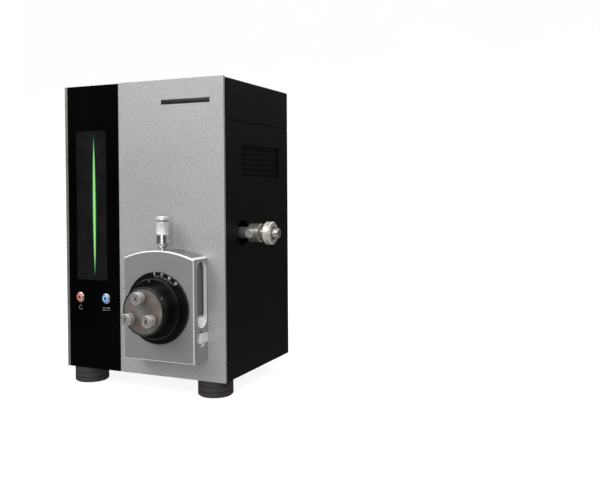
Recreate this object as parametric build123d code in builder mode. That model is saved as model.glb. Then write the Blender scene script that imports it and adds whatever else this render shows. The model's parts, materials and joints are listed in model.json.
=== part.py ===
from build123d import *
import os
from math import cos, pi, radians, sin

# A benchtop scanning electron microscope, main unit. Millimetres, +Z up, +Y towards the rear.
# The origin is on the bench, under the middle of the whole envelope.

# Driving dimensions of the housing
HOUSING_W = 345.0
HOUSING_D = 260.0
HOUSING_H = 530.0
FOOT_H = 30.0
KNOB_REACH = 110.0      # front face of the housing to the faces of the stage knobs
ADJUSTER_REACH = 72.0   # right side of the housing to the tip of the aperture rod
PORT_REACH = 14.0       # rear of the housing to the face of the vacuum port

LEFT = -(HOUSING_W + ADJUSTER_REACH) / 2
RIGHT = LEFT + HOUSING_W
FRONT = KNOB_REACH - (KNOB_REACH + HOUSING_D + PORT_REACH) / 2
REAR = FRONT + HOUSING_D
BASE = FOOT_H
TOP = BASE + HOUSING_H
MIDDLE_X = (LEFT + RIGHT) / 2
MIDDLE_Y = (FRONT + REAR) / 2

# Where the optical column, the specimen and the tilt axis are
COLUMN_X = LEFT + 239.25
COLUMN_Y = FRONT + 68.0
SPECIMEN_Z = BASE + 131.5
APERTURE_Z = BASE + 257.0
WORKING_DISTANCE = 12.0

# Panels and sheet metal
PANEL_T = 5.0
SHEET_T = 1.5
REAR_SHEET_T = 2.0
SHADOW_GAP = 4.0        # dark joint between the front panel and the covers behind it
COVER_SEAM_Z = BASE + 456.0
SEAM_GAP = 1.6
PROUD = 1.0             # how far the silver plate stands above the fascia's top
TRIM_W = 7.0
FASCIA_RIGHT = LEFT + 123.0
BASE_PLATE_T = 8.0

# Door, with the stage behind it
DOOR_W = 143.5
DOOR_T = 45.5
DOOR_BOTTOM = BASE + 38.5
DOOR_SHOULDER = BASE + 216.0
DOOR_CROWN = BASE + 230.0
DOOR_GAP = 0.4
DOOR_TRAVEL = 150.0
Z_TRAVEL = 12.0
STAGE_TRAVEL = 8.0

# Tilt dial and control disc
FLANGE_R = 62.5
FLANGE_T = 4.7
TILT_RING_R = 52.5
BARREL_R = 41.0
HUB_R = 30.0
SLEEVE_R = 34.0
DISC_R = 38.5
KNOB_CIRCLE_R = 24.5
KNOB_R = 10.3
SHAFT_R = 3.0

# Clearances
RUNNING = 0.05
FREE = 0.3

# Specimen chamber
CHAMBER_W = 140.0
CHAMBER_INNER_W = 110.0
CHAMBER_INNER_H = 116.0
CHAMBER_WALL = 13.0
CHAMBER_NOSE_T = 4.8
CHAMBER_DEPTH = 136.0
CHAMBER_BOTTOM = SPECIMEN_Z - CHAMBER_INNER_H / 2 - CHAMBER_WALL
CHAMBER_TOP = SPECIMEN_Z + CHAMBER_INNER_H / 2 + CHAMBER_WALL

DIAL_AXIS = Axis((COLUMN_X, 0, SPECIMEN_Z), (0, 1, 0))
COLUMN_AXIS = Axis((COLUMN_X, COLUMN_Y, 0), (0, 0, 1))
APERTURE_AXIS = Axis((0, COLUMN_Y, APERTURE_Z), (1, 0, 0))

os.makedirs("parts", exist_ok=True)


def face_on(y):
    """Plane seen from the front: x to the right, z up, extruding towards the viewer."""
    return Plane(origin=(0, y, 0), x_dir=(1, 0, 0), z_dir=(0, -1, 0))


def side_on(x):
    """Plane seen from the right: y to the right, z up, extruding to the right."""
    return Plane(origin=(x, 0, 0), x_dir=(0, 1, 0), z_dir=(1, 0, 0))


def level(z):
    """Plane seen from above, extruding upwards."""
    return Plane.XY.offset(z)


def turn(axis, steps, mode=Mode.ADD):
    """Turn stacked steps about an axis. A step is (start, end, start radius, end radius)."""
    radial = Vector(1, 0, 0) if abs(axis.direction.Z) > 0.5 else Vector(0, 0, 1)
    half_plane = Plane(origin=axis.position, x_dir=radial, z_dir=radial.cross(axis.direction))
    with BuildSketch(half_plane) as half_section:
        for start, end, start_radius, end_radius in steps:
            with BuildLine():
                Polyline((0, start), (start_radius, start), (end_radius, end), (0, end), close=True)
            make_face()
    revolve(half_section.sketch, axis=axis, mode=mode)


def plug(axis, start, end, radius, mode=Mode.ADD):
    """Turn one plain cylinder, or cut one plain bore, between two places along an axis."""
    turn(axis, [(start, end, radius, radius)], mode)


# Rubber feet: three ribs with grooves between them and a recess for the fixing screw. The rear
# pair stands closer together, where the housing hides it
FOOT_R = 31.5
FOOT_GROOVE = 1.6
FOOT_SCREW_R = 4.2
FRONT_FOOT_Y = FRONT + 32.0
REAR_FOOT_Y = REAR - 32.0
REAR_FOOT_INSET_X = 86.0
foot_places = {
    "foot_front_left": (LEFT + 32.5, FRONT_FOOT_Y),
    "foot_front_right": (RIGHT - 38.0, FRONT_FOOT_Y),
    "foot_rear_left": (LEFT + REAR_FOOT_INSET_X, REAR_FOOT_Y),
    "foot_rear_right": (RIGHT - REAR_FOOT_INSET_X, REAR_FOOT_Y),
}
for foot_name, (foot_x, foot_y) in foot_places.items():
    foot_axis = Axis((foot_x, foot_y, 0), (0, 0, 1))
    with BuildPart() as foot:
        turn(foot_axis, [
            (0, 2.5, FOOT_R - 2.5, FOOT_R),
            (2.5, 9, FOOT_R, FOOT_R),
            (9, 10.5, FOOT_R - FOOT_GROOVE, FOOT_R - FOOT_GROOVE),
            (10.5, 18.5, FOOT_R, FOOT_R),
            (18.5, 20, FOOT_R - FOOT_GROOVE, FOOT_R - FOOT_GROOVE),
            (20, FOOT_H, FOOT_R, FOOT_R),
        ])
        plug(foot_axis, 0, 14, 9, Mode.SUBTRACT)
        plug(foot_axis, 14, FOOT_H, FOOT_SCREW_R, Mode.SUBTRACT)
    foot.part.label = foot_name
    export_step(foot.part, "parts/" + foot_name + ".step")

# Base plate, which carries the feet, the frame and the column's mounts
BASE_INSET = 4.0
BASE_PLATE_TOP = BASE + BASE_PLATE_T
with BuildPart() as base_plate:
    with BuildSketch(level(BASE)):
        with Locations((MIDDLE_X, (FRONT + PANEL_T + REAR - REAR_SHEET_T) / 2)):
            RectangleRounded(HOUSING_W - 2 * BASE_INSET, HOUSING_D - PANEL_T - REAR_SHEET_T, 3)
        with Locations(*foot_places.values()):
            Circle(FOOT_SCREW_R, mode=Mode.SUBTRACT)
    extrude(amount=BASE_PLATE_T)
base_plate.part.label = "base_plate"
export_step(base_plate.part, "parts/base_plate.step")

# Welded frame of rectangular tube: six posts, a ring of rails at the top and two sheet shelves
# that carry the electronics on the left
POST_W = 12.0
POST_D = 20.0
TUBE_WALL = 2.0
RAIL_H = 20.0
RAIL_TOP = TOP - 10.0
SHELF_T = 3.0
LOWER_SHELF_Z = BASE + 192.0
UPPER_SHELF_Z = BASE + 336.0
POST_INSET = 15.0
post_xs = (LEFT + POST_INSET, LEFT + 156, RIGHT - POST_INSET)
FRONT_POST_Y = FRONT + PANEL_T + POST_D / 2
REAR_POST_Y = REAR - REAR_SHEET_T - POST_D / 2
with BuildPart() as chassis_frame:
    with BuildSketch(level(BASE_PLATE_TOP)):
        with Locations(*[(x, y) for x in post_xs for y in (FRONT_POST_Y, REAR_POST_Y)]):
            Rectangle(POST_W, POST_D)
            Rectangle(POST_W - 2 * TUBE_WALL, POST_D - 2 * TUBE_WALL, mode=Mode.SUBTRACT)
    extrude(amount=RAIL_TOP - BASE_PLATE_TOP)
    with BuildSketch(level(RAIL_TOP - RAIL_H)):
        with Locations(*[((post_xs[0] + post_xs[-1]) / 2, y) for y in (FRONT_POST_Y, REAR_POST_Y)]):
            Rectangle(post_xs[-1] - post_xs[0] + POST_W, POST_D)
        with Locations(*[(x, (FRONT_POST_Y + REAR_POST_Y) / 2) for x in post_xs]):
            Rectangle(POST_W, REAR_POST_Y - FRONT_POST_Y)
    extrude(amount=RAIL_H)
    for shelf_z in (LOWER_SHELF_Z, UPPER_SHELF_Z):
        with BuildSketch(level(shelf_z)):
            with Locations(((post_xs[0] + post_xs[1]) / 2, (FRONT_POST_Y + REAR_POST_Y) / 2)):
                Rectangle(post_xs[1] - post_xs[0] + POST_W, REAR_POST_Y - FRONT_POST_Y + POST_D)
        extrude(amount=SHELF_T)
chassis_frame.part.label = "chassis_frame"
export_step(chassis_frame.part, "parts/chassis_frame.step")

# Silver front panel: one plate with a rounded left edge, pierced behind the door for the
# chamber's nose and the two guide rods
ROD_R = 5.0
ROD_SPREAD = 59.75
ROD_Z = BASE + 50.5
NOSE_W = 128.0
NOSE_H = 131.0
NOSE_GAP = 1.0
rod_xs = (COLUMN_X - ROD_SPREAD, COLUMN_X + ROD_SPREAD)
with BuildPart() as front_panel:
    with BuildSketch(face_on(FRONT + PANEL_T)):
        with Locations(((FASCIA_RIGHT + RIGHT) / 2, (BASE + TOP) / 2)):
            Rectangle(RIGHT - FASCIA_RIGHT, HOUSING_H)
        with Locations((COLUMN_X, SPECIMEN_Z)):
            RectangleRounded(NOSE_W + 2 * NOSE_GAP, NOSE_H + 2 * NOSE_GAP, 11, mode=Mode.SUBTRACT)
        with Locations(*[(x, ROD_Z) for x in rod_xs]):
            Circle(ROD_R + 1.5, mode=Mode.SUBTRACT)
    extrude(amount=PANEL_T)
    front_edges = front_panel.faces().sort_by(Axis.Y)[0].edges().filter_by(Axis.Z)
    fillet(front_edges.sort_by(Axis.X)[0], radius=3.5)
    fillet(front_edges.sort_by(Axis.X)[-1], radius=0.8)
front_panel.part.label = "front_panel"
export_step(front_panel.part, "parts/front_panel.step")

# Aluminium trim strip down the left front corner
with BuildPart() as trim_strip:
    with BuildSketch(level(BASE)):
        with Locations((LEFT + TRIM_W / 2, FRONT + PANEL_T / 2)):
            Rectangle(TRIM_W, PANEL_T)
    extrude(amount=HOUSING_H - PROUD)
    chamfer(trim_strip.edges().filter_by(Axis.Z).group_by(Axis.Y)[0].sort_by(Axis.X)[0], length=1.2)
trim_strip.part.label = "trim_strip"
export_step(trim_strip.part, "parts/trim_strip.step")

# Gloss-black fascia, with a shallow pocket for the window, a needle-shaped slot for the light
# and the holes of the two push buttons
WINDOW_W = 70.0
WINDOW_H = 279.0
WINDOW_X = LEFT + 61.0
WINDOW_Z = BASE + 305.5
WINDOW_T = 2.6
POCKET_T = 2.8
LIGHT_X = LEFT + 67.5
LIGHT_H = 270.0
LIGHT_W = 6.5
BUTTON_Z = BASE + 133.0
BUTTON_BARREL_R = 8.2
power_x = LEFT + 33.2
exchange_x = LEFT + 93.2
FASCIA_LEFT = LEFT + TRIM_W + 0.1
with BuildPart() as fascia:
    with BuildSketch(face_on(FRONT + PANEL_T)):
        with Locations(((FASCIA_LEFT + FASCIA_RIGHT - 0.1) / 2, (BASE + TOP - PROUD) / 2)):
            Rectangle(FASCIA_RIGHT - 0.1 - FASCIA_LEFT, HOUSING_H - PROUD)
        with Locations((power_x, BUTTON_Z), (exchange_x, BUTTON_Z)):
            Circle(BUTTON_BARREL_R + 0.1, mode=Mode.SUBTRACT)
    extrude(amount=PANEL_T)
    with BuildSketch(face_on(FRONT)):
        with Locations((WINDOW_X, WINDOW_Z)):
            RectangleRounded(WINDOW_W, WINDOW_H, 1.2)
    extrude(amount=-POCKET_T, mode=Mode.SUBTRACT)
    with BuildSketch(face_on(FRONT + PANEL_T)):
        with BuildLine():
            ThreePointArc(
                (LIGHT_X, WINDOW_Z - LIGHT_H / 2),
                (LIGHT_X + LIGHT_W / 2, WINDOW_Z),
                (LIGHT_X, WINDOW_Z + LIGHT_H / 2),
            )
            ThreePointArc(
                (LIGHT_X, WINDOW_Z + LIGHT_H / 2),
                (LIGHT_X - LIGHT_W / 2, WINDOW_Z),
                (LIGHT_X, WINDOW_Z - LIGHT_H / 2),
            )
        make_face()
    extrude(amount=PANEL_T - POCKET_T, mode=Mode.SUBTRACT)
fascia.part.label = "fascia"
export_step(fascia.part, "parts/fascia.step")

# Smoked window
with BuildPart() as display_window:
    with BuildSketch(face_on(FRONT + POCKET_T)):
        with Locations((WINDOW_X, WINDOW_Z)):
            RectangleRounded(WINDOW_W - 0.3, WINDOW_H - 0.3, 1)
    extrude(amount=WINDOW_T)
    chamfer(display_window.faces().sort_by(Axis.Y)[0].edges(), length=0.3)
display_window.part.label = "display_window"
export_step(display_window.part, "parts/display_window.step")

# Light guide, a flat needle behind the window
LIGHT_CLEARANCE = 0.1
with BuildPart() as light_guide:
    with BuildSketch(face_on(FRONT + PANEL_T)):
        with BuildLine():
            ThreePointArc(
                (LIGHT_X, WINDOW_Z - LIGHT_H / 2 + 4),
                (LIGHT_X + LIGHT_W / 2 - LIGHT_CLEARANCE, WINDOW_Z),
                (LIGHT_X, WINDOW_Z + LIGHT_H / 2 - 4),
            )
            ThreePointArc(
                (LIGHT_X, WINDOW_Z + LIGHT_H / 2 - 4),
                (LIGHT_X - LIGHT_W / 2 + LIGHT_CLEARANCE, WINDOW_Z),
                (LIGHT_X, WINDOW_Z - LIGHT_H / 2 + 4),
            )
        make_face()
    extrude(amount=PANEL_T - POCKET_T)
light_guide.part.label = "light_guide"
export_step(light_guide.part, "parts/light_guide.step")

# Push buttons: a bezel with its switch barrel and nut, and a cap that travels in it
BEZEL_R = 9.6
CAP_R = 6.8
CAP_PROUD = 3.3
NUT_R = 10.5
BUTTON_BORE_END = 16.0
with BuildPart() as button_bezels:
    for button_x in (power_x, exchange_x):
        button_axis = Axis((button_x, 0, BUTTON_Z), (0, 1, 0))
        turn(button_axis, [
            (FRONT - 2.4, FRONT - 1.4, BEZEL_R - 1.6, BEZEL_R - 0.4),
            (FRONT - 1.4, FRONT, BEZEL_R, BEZEL_R),
            (FRONT, FRONT + 24, BUTTON_BARREL_R, BUTTON_BARREL_R),
        ])
        with BuildSketch(face_on(FRONT + PANEL_T + 3)):
            with Locations((button_x, BUTTON_Z)):
                RegularPolygon(radius=NUT_R, side_count=6)
        extrude(amount=3)
        plug(button_axis, FRONT - 2.4, FRONT + BUTTON_BORE_END, CAP_R + 0.1, Mode.SUBTRACT)
button_bezels.part.label = "button_bezels"
export_step(button_bezels.part, "parts/button_bezels.step")

for cap_name, cap_x in {"power_button": power_x, "exchange_button": exchange_x}.items():
    with BuildPart() as cap:
        turn(Axis((cap_x, 0, BUTTON_Z), (0, 1, 0)), [
            (FRONT - CAP_PROUD, FRONT - CAP_PROUD + 0.7, CAP_R - 0.8, CAP_R),
            (FRONT - CAP_PROUD + 0.7, FRONT + 12, CAP_R, CAP_R),
        ])
    cap.part.label = cap_name
    export_step(cap.part, "parts/" + cap_name + ".step")

# Side covers: folded sheet, with a lip behind the shadow joint and an opening for the vent.
# The right one also lets the aperture adjuster out.
COVER_FRONT = FRONT + PANEL_T + SHADOW_GAP
LIP_W = 8.0
VENT_Y = FRONT + 143.0
VENT_Z = BASE + 384.75
VENT_L = 158.0
VENT_H = 59.5
ADJUSTER_HOLE_R = 23.0
for side_name, outer_x, inward in (("left", LEFT, 1), ("right", RIGHT, -1)):
    with BuildPart() as side_cover:
        with BuildSketch(side_on(outer_x)):
            with Locations(((COVER_FRONT + REAR) / 2, (BASE + COVER_SEAM_Z - SEAM_GAP / 2) / 2)):
                Rectangle(REAR - COVER_FRONT, COVER_SEAM_Z - SEAM_GAP / 2 - BASE)
            with Locations((VENT_Y, VENT_Z)):
                RectangleRounded(VENT_L, VENT_H, 1.5, mode=Mode.SUBTRACT)
            if side_name == "right":
                with Locations((COLUMN_Y, APERTURE_Z)):
                    Circle(ADJUSTER_HOLE_R, mode=Mode.SUBTRACT)
        extrude(amount=SHEET_T * inward)
        with BuildSketch(level(BASE_PLATE_TOP)):
            with Locations((outer_x + inward * LIP_W / 2, COVER_FRONT + SHEET_T / 2)):
                Rectangle(LIP_W, SHEET_T)
        extrude(amount=COVER_SEAM_Z - SEAM_GAP / 2 - BASE_PLATE_TOP)
        outer_corner = side_cover.edges().filter_by(Axis.Z).group_by(Axis.Y)[0]
        fillet(outer_corner.sort_by(Axis.X)[0 if side_name == "left" else -1], radius=1.2)
    side_cover.part.label = "side_cover_" + side_name
    export_step(side_cover.part, "parts/side_cover_" + side_name + ".step")

# Vent inserts: shallow pressed trays behind the openings, six rows of small holes, every
# other row moved by half a pitch
VENT_DEPTH = 2.5
VENT_RIM = 4.0
HOLE_PITCH_Y = 9.0
HOLE_PITCH_Z = 9.4
HOLE_L = 4.4
HOLE_H = 5.4
HOLES_PER_ROW = 17
with BuildPart() as vent_grilles:
    for outer_x, inward in ((LEFT, 1), (RIGHT, -1)):
        with BuildSketch(side_on(outer_x + inward * SHEET_T)):
            with Locations((VENT_Y, VENT_Z)):
                Rectangle(VENT_L + 2 * VENT_RIM, VENT_H + 2 * VENT_RIM)
        extrude(amount=inward * (VENT_DEPTH + SHEET_T))
        with BuildSketch(side_on(outer_x + inward * SHEET_T)):
            with Locations((VENT_Y, VENT_Z)):
                RectangleRounded(VENT_L, VENT_H, 1.5)
        extrude(amount=inward * VENT_DEPTH, mode=Mode.SUBTRACT)
        with BuildSketch(side_on(outer_x + inward * (SHEET_T + VENT_DEPTH))):
            for shift, first_row in ((-0.25, 0.5), (0.25, -0.5)):
                with Locations((VENT_Y + shift * HOLE_PITCH_Y, VENT_Z + first_row * HOLE_PITCH_Z)):
                    with GridLocations(HOLE_PITCH_Y, 2 * HOLE_PITCH_Z, HOLES_PER_ROW, 3):
                        Rectangle(HOLE_L, HOLE_H)
        extrude(amount=inward * SHEET_T, mode=Mode.SUBTRACT)
vent_grilles.part.label = "vent_grilles"
export_step(vent_grilles.part, "parts/vent_grilles.step")

# Top cover: a folded tray that closes the top and the upper part of both sides and the rear
TOP_COVER_TOP = TOP - PROUD
TOP_COVER_BOTTOM = COVER_SEAM_Z + SEAM_GAP / 2
with BuildPart() as top_cover:
    with BuildSketch(level(TOP_COVER_BOTTOM)):
        with Locations((MIDDLE_X, (COVER_FRONT + REAR) / 2)):
            Rectangle(HOUSING_W, REAR - COVER_FRONT)
    extrude(amount=TOP_COVER_TOP - TOP_COVER_BOTTOM)
    fillet(top_cover.edges().group_by(Axis.Z)[-1], radius=2.5)
    offset(amount=-SHEET_T, openings=top_cover.faces().sort_by(Axis.Z)[0])
    with BuildSketch(face_on(COVER_FRONT + 2 * SHEET_T)):
        with Locations((MIDDLE_X, TOP_COVER_BOTTOM + (TOP_COVER_TOP - TOP_COVER_BOTTOM - LIP_W) / 2)):
            Rectangle(HOUSING_W - 2 * LIP_W, TOP_COVER_TOP - TOP_COVER_BOTTOM - LIP_W)
    extrude(amount=3 * SHEET_T, mode=Mode.SUBTRACT)
top_cover.part.label = "top_cover"
export_step(top_cover.part, "parts/top_cover.step")

# Rear panel, with the openings of the fan, the mains inlet, the sockets and the vacuum port
FAN_X = LEFT + 90.0
FAN_Z = BASE + 398.0
FAN_SIZE = 80.0
FAN_T = 25.0
FAN_BORE_R = 38.5
PORT_X = LEFT + 80.0
PORT_Z = SPECIMEN_Z
PIPE_R = 14.0
PIPE_BORE_R = 13.0
INLET_X = LEFT + 240.0
INLET_Z = BASE + 45.0
INLET_BODY_W = 47.0
INLET_BODY_H = 25.0
SOCKET_X = LEFT + 240.0
SOCKET_Z = BASE + 115.0
SOCKET_PITCH = 36.0
SOCKET_R = 12.0
with BuildPart() as rear_panel:
    with BuildSketch(face_on(REAR)):
        with Locations((MIDDLE_X, (BASE + COVER_SEAM_Z - SEAM_GAP / 2) / 2)):
            Rectangle(HOUSING_W - 2 * SHEET_T - 0.6, COVER_SEAM_Z - SEAM_GAP / 2 - BASE)
        with Locations((FAN_X, FAN_Z)):
            Circle(FAN_BORE_R, mode=Mode.SUBTRACT)
        with Locations((PORT_X, PORT_Z)):
            Circle(PIPE_R + 0.5, mode=Mode.SUBTRACT)
        with Locations((INLET_X, INLET_Z)):
            Rectangle(INLET_BODY_W + 0.6, INLET_BODY_H + 0.6, mode=Mode.SUBTRACT)
        with Locations((SOCKET_X, SOCKET_Z)):
            with GridLocations(SOCKET_PITCH, 1, 2, 1):
                Circle(SOCKET_R - 1.5, mode=Mode.SUBTRACT)
    extrude(amount=REAR_SHEET_T)
rear_panel.part.label = "rear_panel"
export_step(rear_panel.part, "parts/rear_panel.step")

# Cooling fan: a square frame with four struts and a bearing pin, and a seven-bladed rotor
FAN_REAR = REAR - REAR_SHEET_T
FAN_FRONT = FAN_REAR - FAN_T
FAN_HUB_R = 16.0
FAN_PIN_R = 2.0
BLADE_TIP_R = 37.0
BLADE_COUNT = 7
fan_axis = Axis((FAN_X, 0, FAN_Z), (0, 1, 0))
with BuildPart() as fan_frame:
    with BuildSketch(face_on(FAN_REAR)):
        with Locations((FAN_X, FAN_Z)):
            RectangleRounded(FAN_SIZE, FAN_SIZE, 5)
            Circle(FAN_BORE_R, mode=Mode.SUBTRACT)
    extrude(amount=FAN_T)
    with BuildSketch(face_on(FAN_FRONT + 3)):
        with Locations((FAN_X, FAN_Z)):
            Circle(FAN_HUB_R)
            Rectangle(2 * FAN_BORE_R + 1, 5, rotation=45)
            Rectangle(2 * FAN_BORE_R + 1, 5, rotation=-45)
    extrude(amount=3)
    plug(fan_axis, FAN_FRONT + 3, FAN_FRONT + 16, FAN_PIN_R)
fan_frame.part.label = "fan_frame"
export_step(fan_frame.part, "parts/fan_frame.step")

ROTOR_FRONT = FAN_FRONT + 3.6
ROTOR_REAR = FAN_REAR - 1.5
BLADE_T = 1.6
BLADE_L = 19.0
BLADE_ANGLE = 35.0
with BuildPart() as fan_rotor:
    turn(fan_axis, [
        (ROTOR_FRONT, ROTOR_REAR - 1.5, FAN_HUB_R, FAN_HUB_R),
        (ROTOR_REAR - 1.5, ROTOR_REAR, FAN_HUB_R, FAN_HUB_R - 1.5),
    ])
    for blade in range(BLADE_COUNT):
        angle = 2 * pi * blade / BLADE_COUNT
        outward = Vector(cos(angle), 0, sin(angle))
        root = Vector(FAN_X, (ROTOR_FRONT + ROTOR_REAR) / 2, FAN_Z) + outward * (FAN_HUB_R - 2)
        with BuildSketch(Plane(origin=root, x_dir=(0, 1, 0), z_dir=outward)):
            Rectangle(BLADE_L, BLADE_T, rotation=BLADE_ANGLE)
        extrude(amount=BLADE_TIP_R - FAN_HUB_R + 1.2)
    plug(fan_axis, ROTOR_FRONT, FAN_FRONT + 17, FAN_PIN_R + RUNNING, Mode.SUBTRACT)
fan_rotor.part.label = "fan_rotor"
export_step(fan_rotor.part, "parts/fan_rotor.step")

# Stamped finger guard over the fan: three rings on two crossed spokes, on four spacers
GUARD_FRONT = REAR + 2.5
GUARD_T = 1.5
GUARD_WIRE_W = 2.0
GUARD_HALF = 35.8
guard_reach = GUARD_HALF * 2 ** 0.5
with BuildPart() as fan_guard:
    with BuildSketch(face_on(GUARD_FRONT + GUARD_T)):
        with Locations((FAN_X, FAN_Z)):
            for ring_r in (32, 22, 12):
                Circle(ring_r + GUARD_WIRE_W / 2)
                Circle(ring_r - GUARD_WIRE_W / 2, mode=Mode.SUBTRACT)
            Rectangle(2 * guard_reach, GUARD_WIRE_W, rotation=45)
            Rectangle(2 * guard_reach, GUARD_WIRE_W, rotation=-45)
            with GridLocations(2 * GUARD_HALF, 2 * GUARD_HALF, 2, 2):
                Circle(4)
    extrude(amount=GUARD_T)
    with BuildSketch(face_on(GUARD_FRONT)):
        with Locations((FAN_X, FAN_Z)):
            with GridLocations(2 * GUARD_HALF, 2 * GUARD_HALF, 2, 2):
                Circle(3)
    extrude(amount=GUARD_FRONT - REAR)
fan_guard.part.label = "fan_guard"
export_step(fan_guard.part, "parts/fan_guard.step")

# Mains inlet: a flanged socket with a recess for the plug
INLET_FLANGE_W = 59.0
INLET_FLANGE_H = 31.0
INLET_FLANGE_T = 3.0
RECESS_W = 25.0
RECESS_H = 17.5
RECESS_DEPTH = 17.0
with BuildPart() as power_inlet:
    with BuildSketch(face_on(REAR + INLET_FLANGE_T)):
        with Locations((INLET_X, INLET_Z)):
            RectangleRounded(INLET_FLANGE_W, INLET_FLANGE_H, 4)
    extrude(amount=INLET_FLANGE_T)
    with BuildSketch(face_on(REAR)):
        with Locations((INLET_X, INLET_Z)):
            Rectangle(INLET_BODY_W, INLET_BODY_H)
    extrude(amount=24)
    with BuildSketch(face_on(REAR + INLET_FLANGE_T)):
        with Locations((INLET_X, INLET_Z)):
            Rectangle(RECESS_W, RECESS_H)
    extrude(amount=RECESS_DEPTH, mode=Mode.SUBTRACT)
power_inlet.part.label = "power_inlet"
export_step(power_inlet.part, "parts/power_inlet.step")

# Two round multipole sockets on one plate, for the leads to the control electronics
SOCKET_PLATE_W = 80.0
SOCKET_PLATE_H = 36.0
SOCKET_PLATE_T = 2.0
SOCKET_FACE = REAR + 10.0
SOCKET_BORE_R = 9.0
with BuildPart() as interface_sockets:
    with BuildSketch(face_on(REAR + SOCKET_PLATE_T)):
        with Locations((SOCKET_X, SOCKET_Z)):
            RectangleRounded(SOCKET_PLATE_W, SOCKET_PLATE_H, 3)
    extrude(amount=SOCKET_PLATE_T)
    for socket_x in (SOCKET_X - SOCKET_PITCH / 2, SOCKET_X + SOCKET_PITCH / 2):
        socket_axis = Axis((socket_x, 0, SOCKET_Z), (0, 1, 0))
        turn(socket_axis, [
            (REAR - 14, REAR, SOCKET_R - 2, SOCKET_R - 2),
            (REAR, REAR + 5, SOCKET_R + 2, SOCKET_R + 2),
            (REAR + 5, SOCKET_FACE, SOCKET_R, SOCKET_R),
        ])
        plug(socket_axis, SOCKET_FACE - 9, SOCKET_FACE, SOCKET_BORE_R, Mode.SUBTRACT)
interface_sockets.part.label = "interface_sockets"
export_step(interface_sockets.part, "parts/interface_sockets.step")

# Specimen chamber: a milled block with a nose that comes through the front panel, a rounded
# pocket open to the front, and ports for the lens, the pump and the detector
DETECTOR_X = COLUMN_X + 26.0
DETECTOR_Z = SPECIMEN_Z + 33.5
DETECTOR_TUBE_R = 10.0
PUMP_Y = FRONT + 75.0
PUMP_INLET_R = 35.0
LENS_POLE_R = 33.9
CHAMBER_BACK = FRONT + CHAMBER_DEPTH
CHAMBER_FACE = FRONT + 0.5
pump_axis = Axis((0, PUMP_Y, SPECIMEN_Z), (1, 0, 0))
detector_axis = Axis((DETECTOR_X, 0, DETECTOR_Z), (0, 1, 0))
with BuildPart() as chamber:
    with BuildSketch(face_on(CHAMBER_BACK)):
        with Locations((COLUMN_X, (CHAMBER_BOTTOM + CHAMBER_TOP) / 2)):
            Rectangle(CHAMBER_W, CHAMBER_TOP - CHAMBER_BOTTOM)
    extrude(amount=CHAMBER_BACK - CHAMBER_FACE - CHAMBER_NOSE_T)
    chamfer(chamber.edges().filter_by(Axis.Y), length=2)
    with BuildSketch(face_on(CHAMBER_FACE + CHAMBER_NOSE_T)):
        with Locations((COLUMN_X, SPECIMEN_Z)):
            RectangleRounded(NOSE_W, NOSE_H, 10)
    extrude(amount=CHAMBER_NOSE_T)
    with BuildSketch(face_on(CHAMBER_BACK - CHAMBER_WALL)):
        with Locations((COLUMN_X, SPECIMEN_Z)):
            RectangleRounded(CHAMBER_INNER_W, CHAMBER_INNER_H, 12)
    extrude(amount=CHAMBER_BACK - CHAMBER_WALL - CHAMBER_FACE, mode=Mode.SUBTRACT)
    plug(COLUMN_AXIS, SPECIMEN_Z + 40, CHAMBER_TOP, LENS_POLE_R + 0.1, Mode.SUBTRACT)
    plug(pump_axis, COLUMN_X - CHAMBER_W / 2, COLUMN_X - 40, PUMP_INLET_R, Mode.SUBTRACT)
    plug(detector_axis, CHAMBER_BACK - 20, CHAMBER_BACK, DETECTOR_TUBE_R + 0.1, Mode.SUBTRACT)
chamber.part.label = "chamber"
export_step(chamber.part, "parts/chamber.step")

# Guide block under the chamber, with four bronze bushes for the two guide rods
GUIDE_BOTTOM = BASE + 41.0
GUIDE_FRONT = FRONT + 10.0
GUIDE_BACK = FRONT + 92.0
BUSH_R = 8.0
BUSH_L = 18.0
with BuildPart() as guide_block:
    with BuildSketch(face_on(GUIDE_BACK)):
        with Locations((COLUMN_X, (GUIDE_BOTTOM + CHAMBER_BOTTOM) / 2)):
            Rectangle(CHAMBER_W, CHAMBER_BOTTOM - GUIDE_BOTTOM)
        with Locations(*[(x, ROD_Z) for x in rod_xs]):
            Circle(BUSH_R, mode=Mode.SUBTRACT)
    extrude(amount=GUIDE_BACK - GUIDE_FRONT)
    with BuildSketch(face_on(GUIDE_BACK)):
        with Locations((COLUMN_X, GUIDE_BOTTOM)):
            Rectangle(2 * ROD_SPREAD - 60, 16)
    extrude(amount=GUIDE_BACK - GUIDE_FRONT, mode=Mode.SUBTRACT)
guide_block.part.label = "guide_block"
export_step(guide_block.part, "parts/guide_block.step")

with BuildPart() as guide_bushes:
    for rod_x in rod_xs:
        rod_axis = Axis((rod_x, 0, ROD_Z), (0, 1, 0))
        for bush_front in (GUIDE_FRONT, GUIDE_BACK - BUSH_L):
            plug(rod_axis, bush_front, bush_front + BUSH_L, BUSH_R)
            plug(rod_axis, bush_front, bush_front + BUSH_L, ROD_R + RUNNING, Mode.SUBTRACT)
guide_bushes.part.label = "guide_bushes"
export_step(guide_bushes.part, "parts/guide_bushes.step")

# Rubber mounts that isolate the chamber and column from the base plate
MOUNT_SPREAD_X = 52.0
with BuildPart() as isolators:
    for mount_x in (COLUMN_X - MOUNT_SPREAD_X, COLUMN_X + MOUNT_SPREAD_X):
        for mount_y in (GUIDE_FRONT + 15, GUIDE_BACK - 15):
            turn(Axis((mount_x, mount_y, 0), (0, 0, 1)), [
                (BASE_PLATE_TOP, BASE_PLATE_TOP + 4, 13, 13),
                (BASE_PLATE_TOP + 4, GUIDE_BOTTOM - 4, 10.5, 10.5),
                (GUIDE_BOTTOM - 4, GUIDE_BOTTOM, 13, 13),
            ])
isolators.part.label = "isolators"
export_step(isolators.part, "parts/isolators.step")

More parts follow.
